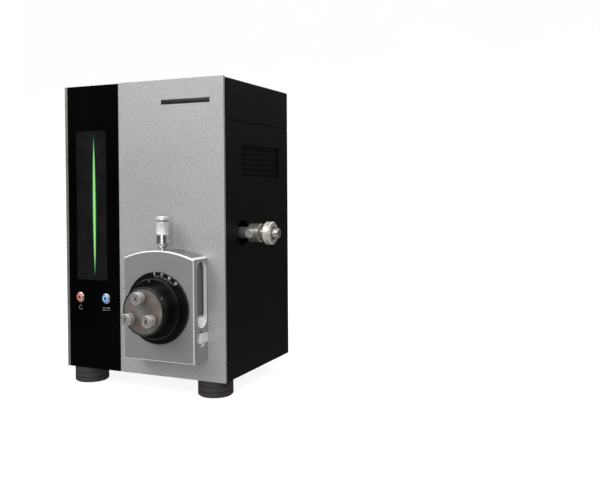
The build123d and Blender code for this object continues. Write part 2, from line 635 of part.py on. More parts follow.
# Objective lens: an iron pot on the chamber, with its conical pole piece over the specimen
LENS_TOP = BASE + 241.0
LENS_R = 60.0
POLE_TIP_R = 9.0
POLE_TIP_Z = SPECIMEN_Z + WORKING_DISTANCE
POLE_SHOULDER_Z = BASE + 175.0
BEAM_R = 3.0
with BuildPart() as objective_lens:
    turn(COLUMN_AXIS, [
        (POLE_TIP_Z, POLE_SHOULDER_Z, POLE_TIP_R, LENS_POLE_R),
        (POLE_SHOULDER_Z, CHAMBER_TOP, LENS_POLE_R, LENS_POLE_R),
        (CHAMBER_TOP, LENS_TOP - 3, LENS_R, LENS_R),
        (LENS_TOP - 3, LENS_TOP, LENS_R, LENS_R - 3),
    ])
    plug(COLUMN_AXIS, POLE_TIP_Z, LENS_TOP, BEAM_R, Mode.SUBTRACT)
objective_lens.part.label = "objective_lens"
export_step(objective_lens.part, "parts/objective_lens.step")

# Aperture housing: a section of the column with a tube that comes out of the right side,
# ends in the adjuster's body and has a side hole for the thumbscrew
HOUSING_SECTION_R = 34.0
SECTION_TOP = BASE + 273.0
TUBE_R = 10.3
ADJUSTER_R = 16.6
ADJUSTER_START = LEFT + 361.0
ADJUSTER_END = LEFT + 392.0
ROD_HOLE_R = 4.3
APERTURE_ROD_R = 4.0
THUMBSCREW_X = LEFT + 368.5
THUMBSCREW_SHANK_R = 2.5
thumbscrew_axis = Axis((THUMBSCREW_X, 0, APERTURE_Z), (0, 1, 0))
with BuildPart() as aperture_housing:
    plug(COLUMN_AXIS, LENS_TOP, SECTION_TOP, HOUSING_SECTION_R)
    turn(APERTURE_AXIS, [
        (COLUMN_X + 20, ADJUSTER_START, TUBE_R, TUBE_R),
        (ADJUSTER_START, ADJUSTER_START + 1, ADJUSTER_R - 1, ADJUSTER_R),
        (ADJUSTER_START + 1, ADJUSTER_END - 10, ADJUSTER_R, ADJUSTER_R),
        (ADJUSTER_END - 10, ADJUSTER_END - 8.5, ADJUSTER_R, ADJUSTER_R - 2),
        (ADJUSTER_END - 8.5, ADJUSTER_END, 11, 11),
    ])
    plug(COLUMN_AXIS, LENS_TOP, SECTION_TOP, BEAM_R, Mode.SUBTRACT)
    plug(APERTURE_AXIS, COLUMN_X - 14, ADJUSTER_END, ROD_HOLE_R, Mode.SUBTRACT)
    plug(thumbscrew_axis, COLUMN_Y - ADJUSTER_R - 1, COLUMN_Y, THUMBSCREW_SHANK_R + RUNNING, Mode.SUBTRACT)
aperture_housing.part.label = "aperture_housing"
export_step(aperture_housing.part, "parts/aperture_housing.step")

# Aperture rod: a thin blade with three holes across the beam, a long rod and a round tip
TIP_R = 8.5
TIP_START = LEFT + 402.5
TIP_END = RIGHT + ADJUSTER_REACH
BLADE_START = COLUMN_X - 10.0
with BuildPart() as aperture_rod:
    turn(APERTURE_AXIS, [
        (COLUMN_X + 14, TIP_START, APERTURE_ROD_R, APERTURE_ROD_R),
        (TIP_START, TIP_END - 1, TIP_R, TIP_R),
        (TIP_END - 1, TIP_END, TIP_R, TIP_R - 1),
    ])
    with BuildSketch(level(APERTURE_Z - 0.5)):
        with Locations(((BLADE_START + COLUMN_X + 16) / 2, COLUMN_Y)):
            Rectangle(COLUMN_X + 16 - BLADE_START, 7)
        with Locations((COLUMN_X, COLUMN_Y)):
            with GridLocations(5, 1, 3, 1):
                Circle(0.8, mode=Mode.SUBTRACT)
    extrude(amount=1)
    with BuildSketch(side_on(TIP_END)):
        with Locations((COLUMN_Y, APERTURE_Z)):
            Rectangle(2 * TIP_R, 1.6)
    extrude(amount=-1.2, mode=Mode.SUBTRACT)
aperture_rod.part.label = "aperture_rod"
export_step(aperture_rod.part, "parts/aperture_rod.step")

# Aperture ring, knurled in use, with a recess that the tip sits in
RING_R = 20.0
RING_START = LEFT + 392.3
RING_END = LEFT + 406.0
with BuildPart() as aperture_ring:
    turn(APERTURE_AXIS, [
        (RING_START, RING_START + 1.5, RING_R - 1.5, RING_R),
        (RING_START + 1.5, RING_END - 1.5, RING_R, RING_R),
        (RING_END - 1.5, RING_END, RING_R, RING_R - 1.5),
    ])
    plug(APERTURE_AXIS, RING_START, RING_END, APERTURE_ROD_R + RUNNING, Mode.SUBTRACT)
    plug(APERTURE_AXIS, LEFT + 399.5, RING_END, TIP_R + 0.5, Mode.SUBTRACT)
aperture_ring.part.label = "aperture_ring"
export_step(aperture_ring.part, "parts/aperture_ring.step")

# Thumbscrew in the side of the adjuster
THUMBSCREW_FACE = FRONT + 44.5
THUMBSCREW_R = 7.5
with BuildPart() as aperture_thumbscrew:
    turn(thumbscrew_axis, [
        (THUMBSCREW_FACE, THUMBSCREW_FACE + 0.8, THUMBSCREW_R - 0.8, THUMBSCREW_R),
        (THUMBSCREW_FACE + 0.8, THUMBSCREW_FACE + 5, THUMBSCREW_R, THUMBSCREW_R),
        (THUMBSCREW_FACE + 5, COLUMN_Y - ADJUSTER_R - FREE, 4, 4),
        (COLUMN_Y - ADJUSTER_R - FREE, COLUMN_Y - ROD_HOLE_R - 1, THUMBSCREW_SHANK_R, THUMBSCREW_SHANK_R),
    ])
aperture_thumbscrew.part.label = "aperture_thumbscrew"
export_step(aperture_thumbscrew.part, "parts/aperture_thumbscrew.step")

# Condenser lens, gun housing and electron gun, stacked on the column
CONDENSER_TOP = BASE + 353.0
CONDENSER_R = 52.0
with BuildPart() as condenser_lens:
    turn(COLUMN_AXIS, [
        (SECTION_TOP, SECTION_TOP + 10, CONDENSER_R, CONDENSER_R),
        (SECTION_TOP + 10, CONDENSER_TOP - 10, CONDENSER_R - 5, CONDENSER_R - 5),
        (CONDENSER_TOP - 10, CONDENSER_TOP, CONDENSER_R, CONDENSER_R),
    ])
    plug(COLUMN_AXIS, SECTION_TOP, CONDENSER_TOP, 2 * BEAM_R, Mode.SUBTRACT)
condenser_lens.part.label = "condenser_lens"
export_step(condenser_lens.part, "parts/condenser_lens.step")

GUN_FLANGE_R = 46.0
GUN_FLANGE_T = 8.0
GUN_TUBE_R = 42.0
GUN_BORE_R = 32.0
GUN_TOP = BASE + 433.0
with BuildPart() as gun_housing:
    turn(COLUMN_AXIS, [
        (CONDENSER_TOP, CONDENSER_TOP + GUN_FLANGE_T, GUN_FLANGE_R, GUN_FLANGE_R),
        (CONDENSER_TOP + GUN_FLANGE_T, GUN_TOP - GUN_FLANGE_T, GUN_TUBE_R, GUN_TUBE_R),
        (GUN_TOP - GUN_FLANGE_T, GUN_TOP, GUN_FLANGE_R, GUN_FLANGE_R),
    ])
    plug(COLUMN_AXIS, CONDENSER_TOP, GUN_TOP, 2 * BEAM_R, Mode.SUBTRACT)
    plug(COLUMN_AXIS, CONDENSER_TOP + GUN_FLANGE_T, GUN_TOP, GUN_BORE_R, Mode.SUBTRACT)
gun_housing.part.label = "gun_housing"
export_step(gun_housing.part, "parts/gun_housing.step")

with BuildPart() as electron_gun:
    turn(COLUMN_AXIS, [
        (GUN_TOP - 64, GUN_TOP - 61, 10, 13),
        (GUN_TOP - 61, GUN_TOP - 48, 13, 13),
        (GUN_TOP - 48, GUN_TOP, 18, 24),
        (GUN_TOP, GUN_TOP + 10, GUN_FLANGE_R, GUN_FLANGE_R),
        (GUN_TOP + 10, GUN_TOP + 16, 22, 20),
        (GUN_TOP + 16, GUN_TOP + 40, 15, 13),
    ])
electron_gun.part.label = "electron_gun"
export_step(electron_gun.part, "parts/electron_gun.step")

# Electron detector: a grid cap in the chamber, a light pipe through the rear wall and the
# photomultiplier behind it
with BuildPart() as detector:
    turn(detector_axis, [
        (FRONT + 98, FRONT + 100, 7, 9),
        (FRONT + 100, FRONT + 108, 9, 9),
        (FRONT + 108, CHAMBER_BACK, DETECTOR_TUBE_R - 2, DETECTOR_TUBE_R),
        (CHAMBER_BACK, CHAMBER_BACK + 6, 20, 20),
        (CHAMBER_BACK + 6, CHAMBER_BACK + 90, 17, 17),
        (CHAMBER_BACK + 90, CHAMBER_BACK + 98, 17, 13),
    ])
detector.part.label = "detector"
export_step(detector.part, "parts/detector.step")

# Turbomolecular pump on the chamber's left wall, with cooling fins and an exhaust stub
PUMP_END = LEFT + 62.0
PUMP_FLANGE_X = COLUMN_X - CHAMBER_W / 2
PUMP_FLANGE_R = 45.0
PUMP_R = 40.0
STUB_END = FRONT + 128.0
port_axis = Axis((PORT_X, 0, PORT_Z), (0, 1, 0))
with BuildPart() as turbo_pump:
    turn(pump_axis, [
        (PUMP_END, PUMP_END + 4, PUMP_R - 8, PUMP_R - 4),
        (PUMP_END + 4, PUMP_FLANGE_X - 12, PUMP_R - 2, PUMP_R - 2),
        (PUMP_FLANGE_X - 12, PUMP_FLANGE_X, PUMP_FLANGE_R, PUMP_FLANGE_R),
    ])
    for fin in range(6):
        fin_x = PUMP_END + 38 + 8 * fin
        plug(pump_axis, fin_x, fin_x + 3, PUMP_R + 3)
    plug(port_axis, PUMP_Y + 20, STUB_END, PIPE_R)
    plug(port_axis, PUMP_Y + 44, STUB_END, PIPE_BORE_R, Mode.SUBTRACT)
    plug(pump_axis, PUMP_FLANGE_X - 26, PUMP_FLANGE_X, PUMP_INLET_R, Mode.SUBTRACT)
turbo_pump.part.label = "turbo_pump"
export_step(turbo_pump.part, "parts/turbo_pump.step")

# Backing pipe from the pump's exhaust to the small clamped flange at the rear
PORT_FLANGE_R = 20.0
PORT_FACE = REAR + PORT_REACH
with BuildPart() as backing_pipe:
    turn(port_axis, [
        (STUB_END, PORT_FACE - 5, PIPE_R, PIPE_R),
        (PORT_FACE - 5, PORT_FACE - 3, PORT_FLANGE_R - 4, PORT_FLANGE_R),
        (PORT_FACE - 3, PORT_FACE, PORT_FLANGE_R, PORT_FLANGE_R),
    ])
    plug(port_axis, STUB_END, PORT_FACE, PIPE_BORE_R, Mode.SUBTRACT)
backing_pipe.part.label = "backing_pipe"
export_step(backing_pipe.part, "parts/backing_pipe.step")

# Electronics on the left: a power supply on the base plate, a high-voltage unit on the lower
# shelf and a control board on the upper one
BAY_LEFT = LEFT + 32.0
BAY_RIGHT = LEFT + 146.0
BAY_X = (BAY_LEFT + BAY_RIGHT) / 2
with BuildPart() as power_supply:
    with BuildSketch(level(BASE_PLATE_TOP)):
        with Locations((BAY_X, FRONT + 135)):
            Rectangle(BAY_RIGHT - BAY_LEFT, 190)
    extrude(amount=62)
    chamfer(power_supply.edges().filter_by(Axis.Z), length=1.5)
    with BuildSketch(face_on(FRONT + 40)):
        with Locations((BAY_X, BASE_PLATE_TOP + 31)):
            with GridLocations(12, 1, 7, 1):
                SlotOverall(40, 4, rotation=90)
    extrude(amount=-4, mode=Mode.SUBTRACT)
power_supply.part.label = "power_supply"
export_step(power_supply.part, "parts/power_supply.step")

HV_BOTTOM = LOWER_SHELF_Z + SHELF_T
with BuildPart() as high_voltage_unit:
    with BuildSketch(level(HV_BOTTOM)):
        with Locations((BAY_X, FRONT + 150)):
            RectangleRounded(BAY_RIGHT - BAY_LEFT, 120, 4)
    extrude(amount=110)
    hv_axis = Axis((BAY_RIGHT - 24, FRONT + 150, 0), (0, 0, 1))
    turn(hv_axis, [
        (HV_BOTTOM + 110, HV_BOTTOM + 114, 14, 14),
        (HV_BOTTOM + 114, HV_BOTTOM + 126, 10, 9),
    ])
high_voltage_unit.part.label = "high_voltage_unit"
export_step(high_voltage_unit.part, "parts/high_voltage_unit.step")

BOARD_BOTTOM = UPPER_SHELF_Z + SHELF_T + 6.0
BOARD_T = 2.0
with BuildPart() as control_board:
    with BuildSketch(level(UPPER_SHELF_Z + SHELF_T)):
        with Locations((BAY_X, FRONT + 120)):
            with GridLocations(94, 150, 2, 2):
                Circle(3)
    extrude(amount=BOARD_BOTTOM - UPPER_SHELF_Z - SHELF_T)
    with BuildSketch(level(BOARD_BOTTOM)):
        with Locations((BAY_X, FRONT + 120)):
            Rectangle(106, 162)
    extrude(amount=BOARD_T)
    with BuildSketch(level(BOARD_BOTTOM + BOARD_T)):
        with Locations((BAY_X, FRONT + 100)):
            with GridLocations(36, 34, 2, 3):
                Rectangle(22, 22)
    extrude(amount=3)
control_board.part.label = "control_board"
export_step(control_board.part, "parts/control_board.step")

# Door: a thick milled block with an arched top, bevelled face, a finger slot and a relief for
# the locating lug on each side, and a slot through it for the stage's sleeve
DOOR_BACK = FRONT - DOOR_GAP
DOOR_FACE = FRONT - DOOR_T
BEVEL = 2.0
GRIP_Y = FRONT - 18.5
GRIP_W = 31.0
GRIP_Z = BASE + 154.5
GRIP_H = 115.0
GRIP_DEPTH = 9.0
LUG_Z = BASE + 79.0
LUG_H = 17.0
LUG_REACH = 25.0
LUG_T = 9.0
RELIEF_R = 14.5
RELIEF_Y = FRONT - 21.0
RELIEF_DEPTH = 10.0
SEAL_W = 118.0
SEAL_H = 125.0
SEAL_T = 3.0
Z_AXIS_Y = FRONT - 30.0
BOSS_W = 16.0
BOSS_D = 14.0
BOSS_TOP = SPECIMEN_Z + 50.0
ROD_SOCKET = 20.0
z_axis = Axis((COLUMN_X, Z_AXIS_Y, 0), (0, 0, 1))
with BuildPart() as door_block:
    with BuildSketch(face_on(DOOR_BACK)):
        with BuildLine():
            ThreePointArc(
                (COLUMN_X + DOOR_W / 2, DOOR_SHOULDER),
                (COLUMN_X, DOOR_CROWN),
                (COLUMN_X - DOOR_W / 2, DOOR_SHOULDER),
            )
            Polyline(
                (COLUMN_X - DOOR_W / 2, DOOR_SHOULDER),
                (COLUMN_X - DOOR_W / 2, DOOR_BOTTOM),
                (COLUMN_X + DOOR_W / 2, DOOR_BOTTOM),
                (COLUMN_X + DOOR_W / 2, DOOR_SHOULDER),
            )
        make_face()
    extrude(amount=DOOR_BACK - DOOR_FACE)
    chamfer(door_block.faces().sort_by(Axis.Y)[0].edges(), length=BEVEL)
    with BuildSketch(face_on(DOOR_BACK)):
        with Locations((COLUMN_X, SPECIMEN_Z - Z_TRAVEL / 2)):
            SlotCenterToCenter(Z_TRAVEL, 2 * SLEEVE_R + 1, rotation=90)
    extrude(amount=DOOR_BACK - DOOR_FACE, mode=Mode.SUBTRACT)
    with BuildSketch(level(SPECIMEN_Z)):
        with Locations((COLUMN_X, Z_AXIS_Y)):
            Rectangle(BOSS_W + 2, BOSS_D + 2)
    extrude(amount=BOSS_TOP + 1 - SPECIMEN_Z, mode=Mode.SUBTRACT)
    plug(z_axis, SPECIMEN_Z, DOOR_CROWN + 1, SHAFT_R + RUNNING, Mode.SUBTRACT)
    for rod_x in rod_xs:
        rod_axis = Axis((rod_x, 0, ROD_Z), (0, 1, 0))
        plug(rod_axis, DOOR_BACK - ROD_SOCKET, DOOR_BACK, ROD_R + 0.01, Mode.SUBTRACT)
    for side in (-1, 1):
        with BuildSketch(side_on(COLUMN_X + side * DOOR_W / 2)):
            with Locations((GRIP_Y, GRIP_Z)):
                SlotOverall(GRIP_H, GRIP_W, rotation=90)
        extrude(amount=-side * GRIP_DEPTH, mode=Mode.SUBTRACT)
        with BuildSketch(side_on(COLUMN_X + side * DOOR_W / 2)):
            with Locations((RELIEF_Y, LUG_Z)):
                Circle(RELIEF_R)
            with Locations(((RELIEF_Y + DOOR_BACK) / 2, LUG_Z)):
                Rectangle(DOOR_BACK - RELIEF_Y, LUG_H + 3)
        extrude(amount=-side * RELIEF_DEPTH, mode=Mode.SUBTRACT)
    with BuildSketch(face_on(DOOR_BACK)):
        with Locations((COLUMN_X, SPECIMEN_Z)):
            RectangleRounded(SEAL_W + 0.2, SEAL_H + 0.2, 12)
            RectangleRounded(SEAL_W - 2 * SEAL_T - 0.2, SEAL_H - 2 * SEAL_T - 0.2, 9, mode=Mode.SUBTRACT)
    extrude(amount=SEAL_T, mode=Mode.SUBTRACT)
door_block.part.label = "door_block"
export_step(door_block.part, "parts/door_block.step")

# Seal in the back of the door, which closes on the chamber's nose
with BuildPart() as door_seal:
    with BuildSketch(face_on(CHAMBER_FACE - 0.1)):
        with Locations((COLUMN_X, SPECIMEN_Z)):
            RectangleRounded(SEAL_W, SEAL_H, 12)
            RectangleRounded(SEAL_W - 2 * SEAL_T, SEAL_H - 2 * SEAL_T, 9, mode=Mode.SUBTRACT)
    extrude(amount=CHAMBER_FACE - 0.1 - DOOR_BACK + SEAL_T)
    fillet(door_seal.faces().sort_by(Axis.Y)[-1].edges(), radius=0.8)
door_seal.part.label = "door_seal"
export_step(door_seal.part, "parts/door_seal.step")

# Locating lugs on the front panel, which the door closes round
with BuildPart() as door_lugs:
    for side in (-1, 1):
        with BuildSketch(side_on(COLUMN_X + side * (DOOR_W / 2 - LUG_T - 0.5))):
            with Locations((FRONT - LUG_REACH / 2, LUG_Z)):
                Rectangle(LUG_REACH, LUG_H)
        extrude(amount=side * LUG_T)
    chamfer(door_lugs.faces().group_by(Axis.Y)[0].edges(), length=1.5)
door_lugs.part.label = "door_lugs"
export_step(door_lugs.part, "parts/door_lugs.step")

# Two guide rods with end stops, pressed into the door
ROD_END = FRONT + 250.0
with BuildPart() as guide_rods:
    for rod_x in rod_xs:
        turn(Axis((rod_x, 0, ROD_Z), (0, 1, 0)), [
            (DOOR_BACK - ROD_SOCKET, ROD_END - 6, ROD_R, ROD_R),
            (ROD_END - 6, ROD_END, BUSH_R, BUSH_R),
        ])
guide_rods.part.label = "guide_rods"
export_step(guide_rods.part, "parts/guide_rods.step")

# Z carriage: the fixed scale flange in front of the door, its sleeve through the door, and a
# boss that the Z screw runs in
FLANGE_BACK = DOOR_FACE - FREE
FLANGE_FACE = FLANGE_BACK - FLANGE_T
SLEEVE_END = FRONT + 6.0
with BuildPart() as z_carriage:
    turn(DIAL_AXIS, [
        (FLANGE_FACE, FLANGE_FACE + 1, FLANGE_R - 1, FLANGE_R),
        (FLANGE_FACE + 1, FLANGE_BACK, FLANGE_R, FLANGE_R),
        (FLANGE_BACK, SLEEVE_END, SLEEVE_R, SLEEVE_R),
    ])
    with BuildSketch(level(SPECIMEN_Z)):
        with Locations((COLUMN_X, Z_AXIS_Y)):
            Rectangle(BOSS_W, BOSS_D)
    extrude(amount=BOSS_TOP - SPECIMEN_Z)
    plug(DIAL_AXIS, FLANGE_FACE, SLEEVE_END, HUB_R + RUNNING, Mode.SUBTRACT)
    plug(z_axis, SPECIMEN_Z, BOSS_TOP, SHAFT_R + RUNNING, Mode.SUBTRACT)
z_carriage.part.label = "z_carriage"
export_step(z_carriage.part, "parts/z_carriage.step")

# Z screw and its knob on top of the door
SCREW_BOTTOM = SPECIMEN_Z + HUB_R + 1.5
KNOB_BOTTOM = DOOR_CROWN + FREE
Z_KNOB_R = 10.75
Z_KNOB_H = 58.2
KNOB_SOCKET = 10.0
with BuildPart() as z_screw:
    plug(z_axis, SCREW_BOTTOM, KNOB_BOTTOM + KNOB_SOCKET, SHAFT_R)
z_screw.part.label = "z_screw"
export_step(z_screw.part, "parts/z_screw.step")

with BuildPart() as z_knob:
    turn(z_axis, [
        (KNOB_BOTTOM, KNOB_BOTTOM + 1.5, 6.2, 6.2),
        (KNOB_BOTTOM + 1.5, KNOB_BOTTOM + 3, 4.6, 4.6),
        (KNOB_BOTTOM + 3, KNOB_BOTTOM + 12, 6.4, Z_KNOB_R - 0.4),
        (KNOB_BOTTOM + 12, KNOB_BOTTOM + 25, Z_KNOB_R - 0.4, Z_KNOB_R - 0.4),
        (KNOB_BOTTOM + 25, KNOB_BOTTOM + 26, Z_KNOB_R - 1.2, Z_KNOB_R - 1.2),
        (KNOB_BOTTOM + 26, KNOB_BOTTOM + 48, Z_KNOB_R, Z_KNOB_R),
        (KNOB_BOTTOM + 48, KNOB_BOTTOM + 52, Z_KNOB_R - 0.7, Z_KNOB_R - 0.7),
        (KNOB_BOTTOM + 52, KNOB_BOTTOM + Z_KNOB_H - 1.5, Z_KNOB_R, Z_KNOB_R),
        (KNOB_BOTTOM + Z_KNOB_H - 1.5, KNOB_BOTTOM + Z_KNOB_H, Z_KNOB_R, Z_KNOB_R - 1.5),
    ])
    plug(z_axis, KNOB_BOTTOM, KNOB_BOTTOM + KNOB_SOCKET, SHAFT_R, Mode.SUBTRACT)
z_knob.part.label = "z_knob"
export_step(z_knob.part, "parts/z_knob.step")

# Tilt barrel: the index ring, the grip barrel and a recess for the control disc
RING_BACK = FLANGE_FACE - FREE
RING_FACE = FRONT - 62.0
BARREL_FACE = FRONT - 90.0
DISC_FACE = FRONT - 89.0
DISC_T = 3.0
DISC_BACK = DISC_FACE + DISC_T
with BuildPart() as tilt_barrel:
    turn(DIAL_AXIS, [
        (BARREL_FACE, BARREL_FACE + 1.5, BARREL_R - 1.2, BARREL_R),
        (BARREL_FACE + 1.5, RING_FACE, BARREL_R, BARREL_R),
        (RING_FACE, RING_FACE + 1.5, TILT_RING_R - 1.5, TILT_RING_R),
        (RING_FACE + 1.5, RING_BACK, TILT_RING_R, TILT_RING_R),
    ])
    plug(DIAL_AXIS, BARREL_FACE, DISC_BACK, DISC_R + 0.2, Mode.SUBTRACT)
    plug(DIAL_AXIS, DISC_BACK, RING_BACK, HUB_R + 0.01, Mode.SUBTRACT)
tilt_barrel.part.label = "tilt_barrel"
export_step(tilt_barrel.part, "parts/tilt_barrel.step")

# Tilt hub: a thick shaft through the sleeve that carries the three knob shafts to the stage
HUB_END = FRONT + 14.0
knob_angles = {"x_knob": 90, "y_knob": 210, "r_knob": 330}
knob_places = {
    name: (COLUMN_X + KNOB_CIRCLE_R * cos(radians(angle)), SPECIMEN_Z + KNOB_CIRCLE_R * sin(radians(angle)))
    for name, angle in knob_angles.items()
}
with BuildPart() as tilt_hub:
    plug(DIAL_AXIS, DISC_BACK, HUB_END, HUB_R)
    for shaft_x, shaft_z in knob_places.values():
        plug(Axis((shaft_x, 0, shaft_z), (0, 1, 0)), DISC_BACK, HUB_END, SHAFT_R + RUNNING, Mode.SUBTRACT)
tilt_hub.part.label = "tilt_hub"
export_step(tilt_hub.part, "parts/tilt_hub.step")

# Control disc on the front of the barrel
with BuildPart() as control_disc:
    with BuildSketch(face_on(DISC_BACK)):
        with Locations((COLUMN_X, SPECIMEN_Z)):
            Circle(DISC_R)
        with Locations(*knob_places.values()):
            Circle(SHAFT_R + FREE, mode=Mode.SUBTRACT)
    extrude(amount=DISC_T)
control_disc.part.label = "control_disc"
export_step(control_disc.part, "parts/control_disc.step")

# X, Y and rotation knobs, each turned with its own shaft
KNOB_FACE = FRONT - KNOB_REACH
KNOB_L = 14.0
NECK_R = 3.6
SHAFT_END = HUB_END + 6.0
for knob_name, (knob_x, knob_z) in knob_places.items():
    knob_axis = Axis((knob_x, 0, knob_z), (0, 1, 0))
    with BuildPart() as knob:
        turn(knob_axis, [
            (KNOB_FACE, KNOB_FACE + 1, KNOB_R - 1, KNOB_R),
            (KNOB_FACE + 1, KNOB_FACE + KNOB_L - 1, KNOB_R, KNOB_R),
            (KNOB_FACE + KNOB_L - 1, KNOB_FACE + KNOB_L, KNOB_R, KNOB_R - 1),
            (KNOB_FACE + KNOB_L, DISC_FACE - FREE, NECK_R, NECK_R),
            (DISC_FACE - FREE, SHAFT_END, SHAFT_R, SHAFT_R),
        ])
        with BuildSketch(face_on(KNOB_FACE)):
            with Locations((knob_x, knob_z)):
                Circle(KNOB_R - 2.2)
                Circle(KNOB_R - 3.2, mode=Mode.SUBTRACT)
        extrude(amount=-0.6, mode=Mode.SUBTRACT)
    knob.part.label = knob_name
    export_step(knob.part, "parts/" + knob_name + ".step")

# Stage cradle: a gear case on the end of the hub and a floor under the specimen, with the
# dovetail tongue of the X slide across it
CASE_R = 29.7
CASE_T = 12.0
CASE_BACK = HUB_END + CASE_T
FLOOR_W = 48.0
FLOOR_TOP = SPECIMEN_Z - 25.0
FLOOR_T = 8.0
FLOOR_END = FRONT + 108.0
DOVETAIL_H = 3.5
DOVETAIL_W = 22.0
DOVETAIL_UNDERCUT = 2.5


def dovetail(plane, centre, foot, length, spare=0.0, mode=Mode.ADD):
    """A tongue drawn on a plane and drawn out along its normal, or with spare room its groove."""
    half = DOVETAIL_W / 2 + spare
    with BuildSketch(plane) as outline:
        with BuildLine():
            Polyline(
                (centre - half + DOVETAIL_UNDERCUT, foot),
                (centre + half - DOVETAIL_UNDERCUT, foot),
                (centre + half, foot + DOVETAIL_H + spare),
                (centre - half, foot + DOVETAIL_H + spare),
                close=True,
            )
        make_face()
    extrude(outline.sketch, amount=length, mode=mode)


with BuildPart() as stage_cradle:
    plug(DIAL_AXIS, HUB_END, CASE_BACK, CASE_R)
    with BuildSketch(face_on(FLOOR_END)):
        with Locations((COLUMN_X, FLOOR_TOP - FLOOR_T / 2)):
            Rectangle(FLOOR_W, FLOOR_T)
    extrude(amount=FLOOR_END - HUB_END)
    chamfer(stage_cradle.faces().sort_by(Axis.Y)[-1].edges().filter_by(Axis.Z), length=5)
    dovetail(side_on(COLUMN_X - FLOOR_W / 2), COLUMN_Y, FLOOR_TOP, FLOOR_W)
    for shaft_x, shaft_z in knob_places.values():
        plug(Axis((shaft_x, 0, shaft_z), (0, 1, 0)), HUB_END, SHAFT_END + 1, SHAFT_R + FREE, Mode.SUBTRACT)
stage_cradle.part.label = "stage_cradle"
export_step(stage_cradle.part, "parts/stage_cradle.step")

# X slide, grooved below for the cradle's tongue and with its own tongue for the Y slide on top
SLIDE_W = 40.0
X_SLIDE_L = 48.0
X_SLIDE_BOTTOM = FLOOR_TOP + FREE
X_SLIDE_TOP = SPECIMEN_Z - 17.8
with BuildPart() as x_slide:
    with BuildSketch(level(X_SLIDE_BOTTOM)):
        with Locations((COLUMN_X, COLUMN_Y)):
            Rectangle(SLIDE_W, X_SLIDE_L)
    extrude(amount=X_SLIDE_TOP - X_SLIDE_BOTTOM)
    dovetail(face_on(COLUMN_Y + X_SLIDE_L / 2), COLUMN_X, X_SLIDE_TOP, X_SLIDE_L)
    dovetail(side_on(COLUMN_X - SLIDE_W), COLUMN_Y, FLOOR_TOP, 2 * SLIDE_W, FREE, Mode.SUBTRACT)
x_slide.part.label = "x_slide"
export_step(x_slide.part, "parts/x_slide.step")

# Y slide, with a bore for the rotary table
Y_SLIDE_BOTTOM = X_SLIDE_TOP + FREE
Y_SLIDE_TOP = SPECIMEN_Z - 10.0
TABLE_BOSS_R = 6.0
BOSS_BOTTOM = SPECIMEN_Z - 13.0
with BuildPart() as y_slide:
    with BuildSketch(level(Y_SLIDE_BOTTOM)):
        with Locations((COLUMN_X, COLUMN_Y)):
            RectangleRounded(SLIDE_W, SLIDE_W, 4)
    extrude(amount=Y_SLIDE_TOP - Y_SLIDE_BOTTOM)
    dovetail(face_on(COLUMN_Y + SLIDE_W), COLUMN_X, X_SLIDE_TOP, 2 * SLIDE_W, FREE, Mode.SUBTRACT)
    plug(COLUMN_AXIS, BOSS_BOTTOM - FREE, Y_SLIDE_TOP, TABLE_BOSS_R + RUNNING, Mode.SUBTRACT)
y_slide.part.label = "y_slide"
export_step(y_slide.part, "parts/y_slide.step")

# Rotary table, with a hole for the specimen stub's pin
TABLE_R = 16.0
STUB_HEAD_T = 3.2
STUB_HEAD_R = 6.35
STUB_PIN_R = 1.6
STUB_PIN_L = 6.0
TABLE_TOP = SPECIMEN_Z - STUB_HEAD_T
with BuildPart() as rotary_table:
    turn(COLUMN_AXIS, [
        (BOSS_BOTTOM, Y_SLIDE_TOP + FREE, TABLE_BOSS_R, TABLE_BOSS_R),
        (Y_SLIDE_TOP + FREE, TABLE_TOP - 1, TABLE_R, TABLE_R),
        (TABLE_TOP - 1, TABLE_TOP, TABLE_R, TABLE_R - 1),
    ])
    plug(COLUMN_AXIS, TABLE_TOP - STUB_PIN_L - 0.5, TABLE_TOP, STUB_PIN_R + RUNNING, Mode.SUBTRACT)
rotary_table.part.label = "rotary_table"
export_step(rotary_table.part, "parts/rotary_table.step")

# Specimen stub, whose face is on the tilt axis
with BuildPart() as specimen_stub:
    turn(COLUMN_AXIS, [
        (TABLE_TOP - STUB_PIN_L, TABLE_TOP, STUB_PIN_R, STUB_PIN_R),
        (TABLE_TOP, SPECIMEN_Z, STUB_HEAD_R, STUB_HEAD_R),
    ])
specimen_stub.part.label = "specimen_stub"
export_step(specimen_stub.part, "parts/specimen_stub.step")
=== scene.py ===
# %% [markdown]
# # A desktop electron microscope
#
# The microscope is a tall cabinet on four rubber feet. Its front has a silver plate, a gloss
# black fascia with a smoked window and two push buttons, and a thick door that draws out like
# a drawer. The door carries a black dial with three small knobs. An aperture adjuster comes
# out of the right side. The rigid solids come ready made, and this script gives them their
# finishes and adds the small things that catch the eye: lettering, screws, knurling, symbols,
# lit rings and pins.

# %% Load the solids and keep the size of their box
import json
import math

import bpy
from mathutils import Matrix, Vector


